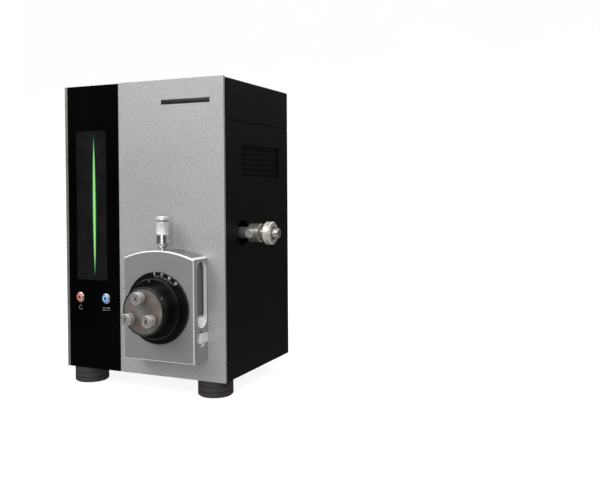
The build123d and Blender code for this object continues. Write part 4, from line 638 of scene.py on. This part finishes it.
# %% One finish for every slot of the record
finishes = {
    "silver_plate": silver,
    "door_metal": door_finish,
    "gloss_black": gloss,
    "smoked_glass": window,
    "light": light_finish,
    "cover_paint": paint,
    "foot_rubber": rubber,
    "dial_black": dial,
    "disc_metal": disc,
    "trim_aluminium": brushed("trim_aluminium", (0.36, 0.36, 0.30), 0.8, 0.42, (1, 1, 30)),
    "knob_aluminium": turned("knob_aluminium", (0.62, 0.61, 0.59), 0.9, 0.30, "y", DIAL_CENTRE, 0.45),
    "chrome": turned("chrome", (0.72, 0.72, 0.71), 1.0, 0.16, "z", Z_AXIS, 0.8, 0.05),
    "nickel": turned("nickel", (0.50, 0.48, 0.43), 0.7, 0.36, "x", rod_axis, 0.8, 0.16),
    "soft_rubber": grained("soft_rubber", (0.020, 0.020, 0.021), 0.0, 0.62, 0.8, 0.2, 0.05),
    "zinc_steel": grained("zinc_steel", (0.42, 0.43, 0.44), 0.85, 0.42, 6.0, 0.2, 0.01),
    "lens_iron": turned("lens_iron", (0.40, 0.41, 0.42), 0.95, 0.34, "z", (COLUMN_X, COLUMN_Y), 0.7),
    "bronze": turned("bronze", (0.46, 0.27, 0.12), 0.95, 0.36, "y", (COLUMN_X, BASE + 50.5), 0.6),
    "fan_plastic": grained("fan_plastic", (0.014, 0.014, 0.015), 0.0, 0.48, 0.9, 0.2, 0.03),
    "board_green": grained("board_green", (0.012, 0.085, 0.035), 0.0, 0.38, 2.5, 0.25, 0.02),
    "black_plastic": grained("black_plastic", (0.012, 0.012, 0.013), 0.0, 0.42, 0.7, 0.2, 0.03),
}
for row in frame["record"]["subparts"]:
    solid = frame["nodes"][row["node"]]
    solid.data.materials.clear()
    finish = own_finishes.get(row["node"], finishes[row["material_slot"]])
    solid.data.materials.append(finish.material)

# %% [markdown]
# ## Tools for the added pieces
#
# Small parts are drawn as they would be by hand. A line of points is drawn by extruding one
# vertex from place to place. Closed, the line is either filled and extruded into a plate, or
# spun about an axis into a turned piece. Everything is deselected first, because the solids
# come in selected and an operator would take them along.


# %% Drawing, plates and turned pieces
def rectangle(left, low, right, high):
    """The four corners of a rectangle, as (across, up) offsets."""
    return [(left, low), (right, low), (right, high), (left, high)]


def face_outline(centre, offsets):
    """An outline on an upright face, from (across, up) offsets in millimetres."""
    return [centre + ACROSS * x * MM + UP * z * MM for x, z in offsets]


def draw_outline(name, points):
    """A closed line through points in metres, left selected in edit mode."""
    bpy.ops.object.select_all(action="DESELECT")
    bpy.ops.mesh.primitive_plane_add(size=MM, location=(0, 0, 0))
    piece = bpy.context.object
    piece.name = piece.data.name = name
    bpy.ops.object.mode_set(mode="EDIT")
    bpy.ops.mesh.select_mode(type="VERT")
    bpy.ops.mesh.select_all(action="SELECT")
    bpy.ops.mesh.merge(type="CENTER")
    bpy.ops.transform.translate(value=points[0])
    for start, end in zip(points, points[1:] + points[:1]):
        bpy.ops.mesh.extrude_region_move(TRANSFORM_OT_translate={"value": end - start})
    bpy.ops.mesh.select_all(action="SELECT")
    bpy.ops.mesh.remove_doubles(threshold=1e-6)
    bpy.ops.mesh.select_all(action="SELECT")
    return piece


def close_piece(piece, body, finish, slot, bevel=0.0, sharp_above=35):
    """Leave edit mode, round the edges, smooth the curves and hang the piece on its body."""
    bpy.ops.mesh.select_all(action="SELECT")
    bpy.ops.mesh.normals_make_consistent(inside=False)
    bpy.ops.object.mode_set(mode="OBJECT")
    if bevel:
        rounding = piece.modifiers.new("rounding", "BEVEL")
        rounding.width, rounding.segments, rounding.limit_method = bevel * MM, 2, "ANGLE"
        bpy.ops.object.modifier_apply(modifier="rounding")
    bpy.ops.object.shade_smooth_by_angle(angle=math.radians(sharp_above))
    piece.data.materials.clear()
    piece.data.materials.append(finish.material)
    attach(piece, body)
    return piece


def plate(name, outline, normal, thickness, body, finish, slot, bevel=0.0):
    """Fill an outline and extrude it along a normal."""
    piece = draw_outline(name, outline)
    bpy.ops.mesh.edge_face_add()
    step = Vector(normal) * thickness * MM
    bpy.ops.mesh.extrude_region_move(TRANSFORM_OT_translate={"value": step})
    return close_piece(piece, body, finish, slot, bevel)


def lathe(name, centre, axis, radial, profile, body, finish, slot, steps=48, angle=math.tau, dent=None):
    """Spin a closed profile of (distance along the axis, radius), both in millimetres."""
    points = [centre + axis * a * MM + radial * r * MM for a, r in profile]
    piece = draw_outline(name, points)
    if angle < math.tau:
        bpy.ops.mesh.edge_face_add()
    bpy.ops.mesh.spin(steps=steps, angle=angle, center=centre, axis=axis)
    bpy.ops.mesh.select_all(action="SELECT")
    bpy.ops.mesh.remove_doubles(threshold=1e-6)
    bpy.ops.mesh.delete_loose(use_verts=True, use_edges=True, use_faces=False)
    if dent:
        bpy.ops.mesh.normals_make_consistent(inside=False)
        bpy.ops.mesh.select_mode(type="FACE")
        bpy.ops.object.mode_set(mode="OBJECT")
        limit, thickness, depth = dent
        for face in piece.data.polygons:
            offset = face.center - centre
            offset -= axis * offset.dot(axis)
            outward = face.normal.dot(offset.normalized())
            face.select = outward > 0.95 and offset.length > limit * MM
        bpy.ops.object.mode_set(mode="EDIT")
        bpy.ops.mesh.inset(thickness=thickness * MM, depth=-depth * MM, use_individual=True)
    return close_piece(piece, body, finish, slot)


def copy_piece(piece, name, matrix):
    """A copy with its own mesh, moved by a matrix, on the same body."""
    copy = piece.copy()
    copy.data = piece.data.copy()
    copy.name = copy.data.name = name
    bpy.context.scene.collection.objects.link(copy)
    copy.data.transform(matrix)
    return copy


def turn_about(point, axis, degrees):
    """The matrix that turns about an axis through a point."""
    away = Matrix.Translation(point)
    return away @ Matrix.Rotation(math.radians(degrees), 4, axis) @ away.inverted()


def lettering(name, text, size, centre, right, up, body, finish, slot, depth=0.12, weight=0.15):
    """Text made into a thin mesh on a surface, its size in millimetres, its strokes made bolder."""
    bpy.ops.object.select_all(action="DESELECT")
    bpy.ops.object.text_add(location=(0, 0, 0))
    piece = bpy.context.object
    piece.data.body = text
    piece.data.size = size * MM
    piece.data.align_x, piece.data.align_y = "CENTER", "CENTER"
    piece.data.extrude = depth * MM / 2
    piece.data.offset = weight * MM
    piece.data.resolution_u = 4
    bpy.ops.object.convert(target="MESH")
    piece = bpy.context.object
    piece.name = piece.data.name = name
    low, high = (Vector(f(c[i] for c in piece.bound_box) for i in range(3)) for f in (min, max))
    outward = right.cross(up)
    turned_frame = Matrix((right, up, outward)).transposed().to_4x4()
    to_centre = Matrix.Translation(-(low + high) / 2)
    piece.data.transform(Matrix.Translation(centre) @ turned_frame @ to_centre)
    bpy.ops.object.mode_set(mode="EDIT")
    bpy.ops.mesh.select_all(action="SELECT")
    bpy.ops.mesh.remove_doubles(threshold=1e-6)
    return close_piece(piece, body, finish, slot)


print("tools:", plate.__name__, lathe.__name__, lettering.__name__)

# %% [markdown]
# ## Small finishes for the added pieces
#
# Printing ink is matt and slightly uneven. The lit rings of the buttons glow unevenly, as
# diffusing plastic does. The screws of the covers are black oxide steel, and the small ones at
# the back are bright.

# %% Ink, glow and screw finishes
white_ink = grained("white_ink", (0.62, 0.62, 0.60), 0.0, 0.55, 0.5, 0.12, 0.01, 8)
grey_ink = grained("grey_ink", (0.20, 0.20, 0.20), 0.0, 0.55, 0.5, 0.15, 0.01, 8)
dark_ink = grained("dark_ink", (0.018, 0.017, 0.016), 0.0, 0.5, 0.5, 0.2, 0.01, 8)
bar_black = grained("bar_black", (0.014, 0.014, 0.015), 0.0, 0.32, 0.6, 0.2, 0.01, 20)
screw_black = turned("screw_black", (0.030, 0.030, 0.030), 0.6, 0.36, "x", (0, 0), 0.4)
bright_steel = turned("bright_steel", (0.60, 0.60, 0.58), 0.95, 0.28, "y", (0, 0), 0.4)


def glowing(name, inner, outer, strength):
    """A lit ring of diffusing plastic."""
    finish = Finish(name, Roughness=0.35)
    finish.shader.inputs["Emission Strength"].default_value = strength
    light_clouds = finish.grain(1.6, 2.0).rise(0.3, 0.7)
    finish.join("Emission Color", light_clouds.colour_mix(inner, outer))
    finish.join("Base Color", light_clouds.colour_mix(tone(inner, 0.8), tone(outer, 0.9)))
    return finish


red_glow = glowing("red_glow", (0.55, 0.07, 0.035, 1), (0.80, 0.17, 0.09, 1), 0.6)
blue_glow = glowing("blue_glow", (0.04, 0.22, 0.75, 1), (0.22, 0.50, 0.92, 1), 0.75)
dark_steel = turned("dark_steel", (0.22, 0.21, 0.20), 0.9, 0.25, "y", (0, 0), 0.4)
print("small finishes made")

# %% [markdown]
# ## Buttons and their symbols
#
# Each push button is a steel cap with a lit ring let into its face, red for power and blue
# for the specimen exchange. The ring is turned from a low rounded profile. The captions under
# them are printed. Here they are symbols: the ring and stroke that mean power, and two
# arrows that pass each other for exchange.

# %% Lit rings
BUTTON_Z = BASE + 133.0
CAP_FACE = FRONT - 3.3
button_x = {"power_button": LEFT + 33.2, "exchange_button": LEFT + 93.2}
RING_PROFILE = [(0.4, 3.6), (-0.25, 3.8), (-0.42, 4.2), (-0.42, 5.7), (-0.25, 6.1), (0.4, 6.3)]
DIMPLE_PROFILE = [(0.1, 0.0), (-0.12, 0.01), (-0.28, 0.6), (-0.28, 2.1), (-0.12, 2.8), (0.1, 3.0)]
for button, glow in (("power_button", red_glow), ("exchange_button", blue_glow)):
    cap_centre = mm(button_x[button], CAP_FACE, BUTTON_Z)
    lathe(button + "_ring", cap_centre, DEEP, UP, RING_PROFILE, button, glow, "light")
    lathe(button + "_dot", cap_centre, DEEP, UP, DIMPLE_PROFILE, button, dark_steel, "chrome", 32)
print("lit rings", len(button_x))

# %% Power symbol and exchange arrows
SYMBOL_Z = BASE + 113.5
INK_T = 0.12
GAP = 70
symbol_centre = mm(button_x["power_button"], FRONT - INK_T / 2, SYMBOL_Z)
start = Matrix.Rotation(math.radians(GAP / 2), 3, DEEP) @ UP
round_stroke = [(-INK_T / 2, 3.3), (-INK_T / 2, 4.2), (INK_T / 2, 4.2), (INK_T / 2, 3.3)]
lathe(
    "power_symbol_ring", symbol_centre, DEEP, start, round_stroke, "root", grey_ink, "gloss_black",
    steps=28, angle=math.radians(360 - GAP),
)
outline = face_outline(symbol_centre, rectangle(-0.45, 1.2, 0.45, 5.2))
plate("power_symbol_stroke", outline, -DEEP, INK_T, "root", grey_ink, "gloss_black", 0.03)
arrow = [(-9, -0.45), (5, -0.45), (5, -1.8), (9, 0), (5, 1.8), (5, 0.45), (-9, 0.45)]
for index, direction in enumerate((1, -1)):
    centre = mm(button_x["exchange_button"], FRONT, SYMBOL_Z + direction * 2.1)
    outline = face_outline(centre, [(x * direction, z) for x, z in arrow])
    plate("exchange_arrow_" + str(index + 1), outline, -DEEP, INK_T, "root", grey_ink, "gloss_black", 0.03)
print("symbols made")

# %% [markdown]
# ## The bar on the silver plate
#
# A dark bar is fixed to the upper right of the plate. It could be a printed colour, but its
# edge catches the light, so it is a thin strip with softened edges.

# %% Dark bar
BAR_HALF_W, BAR_HALF_H, BAR_T = 50, 4.3, 0.35
bar_centre = mm(LEFT + 268, FRONT, BASE + 490.3)
outline = face_outline(bar_centre, rectangle(-BAR_HALF_W, -BAR_HALF_H, BAR_HALF_W, BAR_HALF_H))
plate("plate_bar", outline, -DEEP, BAR_T, "root", bar_black, "gloss_black", 0.12)
print("bar made")

# %% [markdown]
# ## The tilt scale
#
# The flange behind the dial is marked in white with the stage's tilt: a tick every three
# degrees, longer ones at 0, 15, 30 and 45, and a number beside each of those. The scale is on
# the part that does not turn, and a white dot on the turning ring points at it. One short tick
# and one long one are made, and both are copied round the axis.

# %% Ticks and numbers
dial_centre = mm(COLUMN_X, FLANGE_FACE, SPECIMEN_Z)
SCALE_START, TICK_STEP = -3.5, 3
TICK_HALF_W, TICK_FOOT, SHORT_TIP, LONG_TIP = 0.25, 54.0, 56.0, 57.2
NUMBER_RADIUS, NUMBER_SIZE = 59.7, 5.4


def tick_mark(name, tip):
    """A radial line on the flange, out to a radius, at the start of the scale."""
    outline = face_outline(dial_centre, rectangle(-TICK_HALF_W, TICK_FOOT, TICK_HALF_W, tip))
    mark = plate(name, outline, -DEEP, INK_T, "z_carriage", white_ink, "dial_black")
    mark.data.transform(turn_about(dial_centre, DEEP, SCALE_START))
    return mark


short_tick, long_tick = tick_mark("scale_tick_3", SHORT_TIP), tick_mark("scale_tick_0", LONG_TIP)
short_tick.data.transform(turn_about(dial_centre, DEEP, TICK_STEP))
for tilt in range(2 * TICK_STEP, 46, TICK_STEP):
    model, from_model = (long_tick, tilt) if tilt % 15 == 0 else (short_tick, tilt - TICK_STEP)
    copy_piece(model, "scale_tick_" + str(tilt), turn_about(dial_centre, DEEP, from_model))
for tilt in (0, 15, 30, 45):
    around = Matrix.Rotation(math.radians(SCALE_START + tilt), 3, DEEP)
    place = dial_centre + around @ UP * NUMBER_RADIUS * MM - DEEP * 0.05 * MM
    lettering(
        "scale_number_" + str(tilt), str(tilt), NUMBER_SIZE, place,
        around @ ACROSS, around @ UP, "z_carriage", white_ink, "dial_black",
    )
print("scale made")

# %% Index dot and the set screw of the barrel
DOT_ANGLE, DOT_RADIUS = -8, 48.5
dot_axis = Matrix.Rotation(math.radians(DOT_ANGLE), 3, DEEP) @ UP
dot_centre = mm(COLUMN_X, RING_FACE, SPECIMEN_Z) + dot_axis * DOT_RADIUS * MM
DOT_PROFILE = [(0.05, 0.0), (-0.1, 0.01), (-0.1, 0.55), (-0.02, 0.75), (0.05, 0.75)]
lathe("index_dot", dot_centre, DEEP, UP, DOT_PROFILE, "tilt_head", white_ink, "dial_black", 20)
SET_SCREW_ANGLE, SET_SCREW_Y, BARREL_RADIUS = 56, BARREL_FACE + 7, 40.9
SET_SCREW_PROFILE = [(-0.6, 0.9), (0.15, 0.9), (0.25, 1.0), (0.25, 1.5), (0.15, 1.6), (-0.6, 1.6)]
screw_radial = Matrix.Rotation(math.radians(SET_SCREW_ANGLE), 3, DEEP) @ UP
screw_centre = mm(COLUMN_X, SET_SCREW_Y, SPECIMEN_Z) + screw_radial * BARREL_RADIUS * MM
lathe(
    "barrel_set_screw", screw_centre, screw_radial, DEEP, SET_SCREW_PROFILE,
    "tilt_head", bright_steel, "dial_black", steps=24,
)
print("index and set screw made")

# %% Letters on the three knobs
LETTER_SIZE, LETTER_DEPTH, LETTER_WEIGHT = 10.2, 0.14, 0.42
for knob, (_, letter) in KNOB_ANGLES.items():
    knob_x, knob_z = knob_centre(knob)
    place = mm(knob_x, KNOB_FACE + 0.05, knob_z)
    lettering(
        knob + "_letter", letter, LETTER_SIZE, place, ACROSS, UP, knob, dark_ink, "knob_aluminium",
        LETTER_DEPTH, LETTER_WEIGHT,
    )
print("letters made")

# %% [markdown]
# ## Knurled grips
#
# Fingers need a grip on the tall knob, the aperture's ring and its thumbscrew. A bumpy finish
# would leave the outline smooth. Here a thin sleeve is spun over the solid, and each of its
# facets is inset with a little depth, which leaves a raised line between every two: straight
# knurling. The ring's is the finest and the shallowest, so it looks like a satin band.

# %% Knurled sleeves
SLEEVE_SINK, SLEEVE_LIP, SLEEVE_RISE, SLEEVE_CHAMFER = 0.6, 0.02, 0.22, 0.3


def knurl(name, centre, axis, radial, start, end, radius, count, depth, body, finish, slot):
    """A sleeve with straight knurling between two places along an axis."""
    profile = [
        (start, radius - SLEEVE_SINK), (start, radius + SLEEVE_LIP),
        (start + SLEEVE_CHAMFER, radius + SLEEVE_RISE), (end - SLEEVE_CHAMFER, radius + SLEEVE_RISE),
        (end, radius + SLEEVE_LIP), (end, radius - SLEEVE_SINK),
    ]
    pitch = math.tau * radius / count
    dent = (radius + 0.1, pitch * 0.2, depth)
    return lathe(name, centre, axis, radial, profile, body, finish, slot, count, dent=dent)


knurl(
    "z_knob_grip", mm(*Z_AXIS, 0), UP, ACROSS, KNOB_BOTTOM + 27, KNOB_BOTTOM + 47.6, 10.75,
    56, 0.16, "z_knob", tall, "chrome",
)
knurl(
    "aperture_ring_grip", mm(0, *rod_axis), ACROSS, UP, LEFT + 394.3, LEFT + 404.0, 20.0,
    140, 0.05, "aperture_ring", satin_ring, "nickel",
)
knurl(
    "thumbscrew_grip", mm(THUMBSCREW_X, 0, APERTURE_Z), DEEP, UP, FRONT + 45.6, FRONT + 49.2, 7.5,
    44, 0.1, "aperture_thumbscrew", thumbscrew_finish, "nickel",
)
print("grips made")

# %% [markdown]
# ## Screws
#
# The right cover and the rear panel are held by small black pan-head screws. A flat disc would
# do for a head from afar, but near by the cross is what makes it a screw. One screw is turned,
# a cross is cut into its head with a boolean, and copies go to every place.


# %% One cross-head screw and its copies
def cross_screw(name, radius, finish, slot):
    """A pan head with a cross cut in it, which looks along +X with its seat at the origin."""
    seat, top = -0.4, 0.7 * radius
    head = [
        (seat, 0.0), (seat, radius), (0.35 * radius, radius), (0.62 * radius, 0.8 * radius), (top, 0.0),
    ]
    screw = lathe(name, Vector((0, 0, 0)), ACROSS, UP, head, "root", finish, slot, 28)
    for turn in (45, 135):
        bpy.ops.object.select_all(action="DESELECT")
        bpy.ops.mesh.primitive_cube_add(size=1, location=(top * MM, 0, 0))
        cutter = bpy.context.object
        cutter.scale = (0.6 * radius * MM, 1.2 * radius * MM, 0.22 * radius * MM)
        cutter.rotation_euler = (math.radians(turn), 0, 0)
        bpy.context.view_layer.update()
        bpy.context.view_layer.objects.active = screw
        cut = screw.modifiers.new("cross", "BOOLEAN")
        cut.operation, cut.object, cut.solver = "DIFFERENCE", cutter, "EXACT"
        bpy.ops.object.modifier_apply(modifier="cross")
        bpy.data.objects.remove(cutter)
    return screw


screw = cross_screw("cover_screw_model", 2.6, screw_black, "cover_paint")
FACING_RIGHT, FACING_REAR = Matrix.Identity(4), Matrix.Rotation(math.pi / 2, 4, "Z")
screw_places = []
for y, z in ((15.7, 429.6), (14.0, 31.0)):
    screw_places.append((FACING_RIGHT, mm(RIGHT, FRONT + y, BASE + z)))
for x, z in ((14, 14), (331, 14), (14, 440), (331, 440), (172, 440), (172, 14), (14, 230), (331, 230)):
    screw_places.append((FACING_REAR, mm(LEFT + x, REAR, BASE + z)))
for number, (facing, place) in enumerate(screw_places):
    copy_piece(screw, "cover_screw_" + str(number + 1), Matrix.Translation(place) @ facing)
print("cover screws", len(screw_places))

# %% Screws of the fan guard, the inlet and the socket plate
guard_screw = cross_screw("guard_screw_model", 3.0, bright_steel, "chrome")
panel_screw = cross_screw("panel_screw_model", 2.2, bright_steel, "chrome")
FAN_X, FAN_Z, FAN_FACE = LEFT + 90, BASE + 398, REAR + 4.0
INLET_X, INLET_Z, INLET_FACE = LEFT + 240, BASE + 45, REAR + 3.0
SOCKET_Z, SOCKET_FACE = BASE + 115, REAR + 2.0
small_places = []
for dx in (-35.8, 35.8):
    for dz in (-35.8, 35.8):
        small_places.append((guard_screw, mm(FAN_X + dx, FAN_FACE, FAN_Z + dz)))
for dx in (-20.5, 20.5):
    small_places.append((panel_screw, mm(INLET_X + dx, INLET_FACE, INLET_Z)))
for dx in (-36, 36):
    for dz in (-14, 14):
        small_places.append((panel_screw, mm(INLET_X + dx, SOCKET_FACE, SOCKET_Z + dz)))
for number, (model, place) in enumerate(small_places):
    copy_piece(model, "rear_screw_" + str(number + 1), Matrix.Translation(place) @ FACING_REAR)
for model in (screw, guard_screw, panel_screw):
    bpy.data.objects.remove(model)
print("rear screws", len(small_places))

# %% [markdown]
# ## The strip in the seam
#
# Between the top cover and the lower covers is a narrow seam. A black strip lies in it on
# three sides, half a millimetre below the paint, so that neither light nor the bare frame
# shows through: it is a dark sheet of painted shade, standing for the shadow in the seam. It
# is one U-shaped outline seen from above, extruded up across the seam.

# %% Seam strip of painted shade
SEAM_Z = BASE + 456.0
STRIP_FRONT, STRIP_IN, STRIP_T, STRIP_H = FRONT + 14.0, 0.5, 1.2, 1.5
# Painted shade: a near-black strip stands for the shadow in the seam.
seam_shade_black = brushed("seam_shade_black", (0.0012, 0.0012, 0.0012), 0.0, 0.8, (1, 1, 1), Specular_IOR_Level=0.1)


def strip_corners(inset):
    """The corners of the U from its left end to its right end, inside the covers' faces."""
    left, right, rear = LEFT + inset, RIGHT - inset, REAR - inset
    return [(left, STRIP_FRONT), (left, rear), (right, rear), (right, STRIP_FRONT)]


corners = strip_corners(STRIP_IN) + strip_corners(STRIP_IN + STRIP_T)[::-1]
outline = [mm(x, y, SEAM_Z - STRIP_H / 2) for x, y in corners]
plate("seam_shade_strip", outline, UP, STRIP_H, "root", seam_shade_black, "soft_rubber")
print("seam strip made")

# %% [markdown]
# ## Rear sockets and feet
#
# The mains inlet has three flat blades in its recess. Each round socket has a ring of five
# pins in a dark insert. Under each foot a hexagon bolt sits in the recess.

# %% Inlet blades and socket pins
BLADE_FOOT, BLADE_L = REAR - 14.2, 13.0
for number, (dx, dz) in enumerate(((-7, -2), (7, -2), (0, 3))):
    centre = mm(INLET_X + dx, BLADE_FOOT, INLET_Z + dz)
    outline = face_outline(centre, rectangle(-1, -2.2, 1, 2.2))
    plate("inlet_blade_" + str(number + 1), outline, DEEP, BLADE_L, "root", bright_steel, "chrome", 0.3)
SOCKET_OFFSET, SOCKET_FLOOR, PIN_CIRCLE, PINS = 18, REAR + 1.2, 4.6, 5
PIN_PROFILE = [(0.0, 0.0), (0.0, 0.75), (5.2, 0.75), (5.9, 0.3), (6.0, 0.0)]
INSERT_PROFILE = [(-0.2, 0.0), (-0.2, 8.8), (1.6, 8.8), (2.0, 8.4), (2.0, 0.0)]
plastic = finishes["black_plastic"]
for side, offset in (("left", -SOCKET_OFFSET), ("right", SOCKET_OFFSET)):
    floor = mm(INLET_X + offset, SOCKET_FLOOR, SOCKET_Z)
    first_pin = floor + UP * PIN_CIRCLE * MM
    insert, pin_name = "socket_insert_" + side, "socket_pin_" + side + "_"
    lathe(insert, floor, DEEP, UP, INSERT_PROFILE, "root", plastic, "black_plastic", 40)
    pin = lathe(pin_name + "1", first_pin, DEEP, UP, PIN_PROFILE, "root", bright_steel, "chrome", 14)
    for number in range(1, PINS):
        copy_piece(pin, pin_name + str(number + 1), turn_about(floor, DEEP, 360 / PINS * number))
print("inlet and sockets made")

# %% Foot bolts
BOLT_SEAT, BOLT_RADIUS, BOLT_H = 9.0, 6.4, 5.0
for foot in ("front_left", "front_right", "rear_left", "rear_right"):
    low, high = (Vector(corner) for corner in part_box("foot_" + foot))
    centre = Vector(((low.x + high.x) / 2, (low.y + high.y) / 2, BOLT_SEAT * MM))
    turns = [Matrix.Rotation(math.radians(60 * corner), 3, UP) for corner in range(6)]
    outline = [centre + turn @ ACROSS * BOLT_RADIUS * MM for turn in turns]
    plate("foot_bolt_" + foot, outline, UP, BOLT_H, "root", screw_black, "zinc_steel", 0.5)
print("foot bolts made")
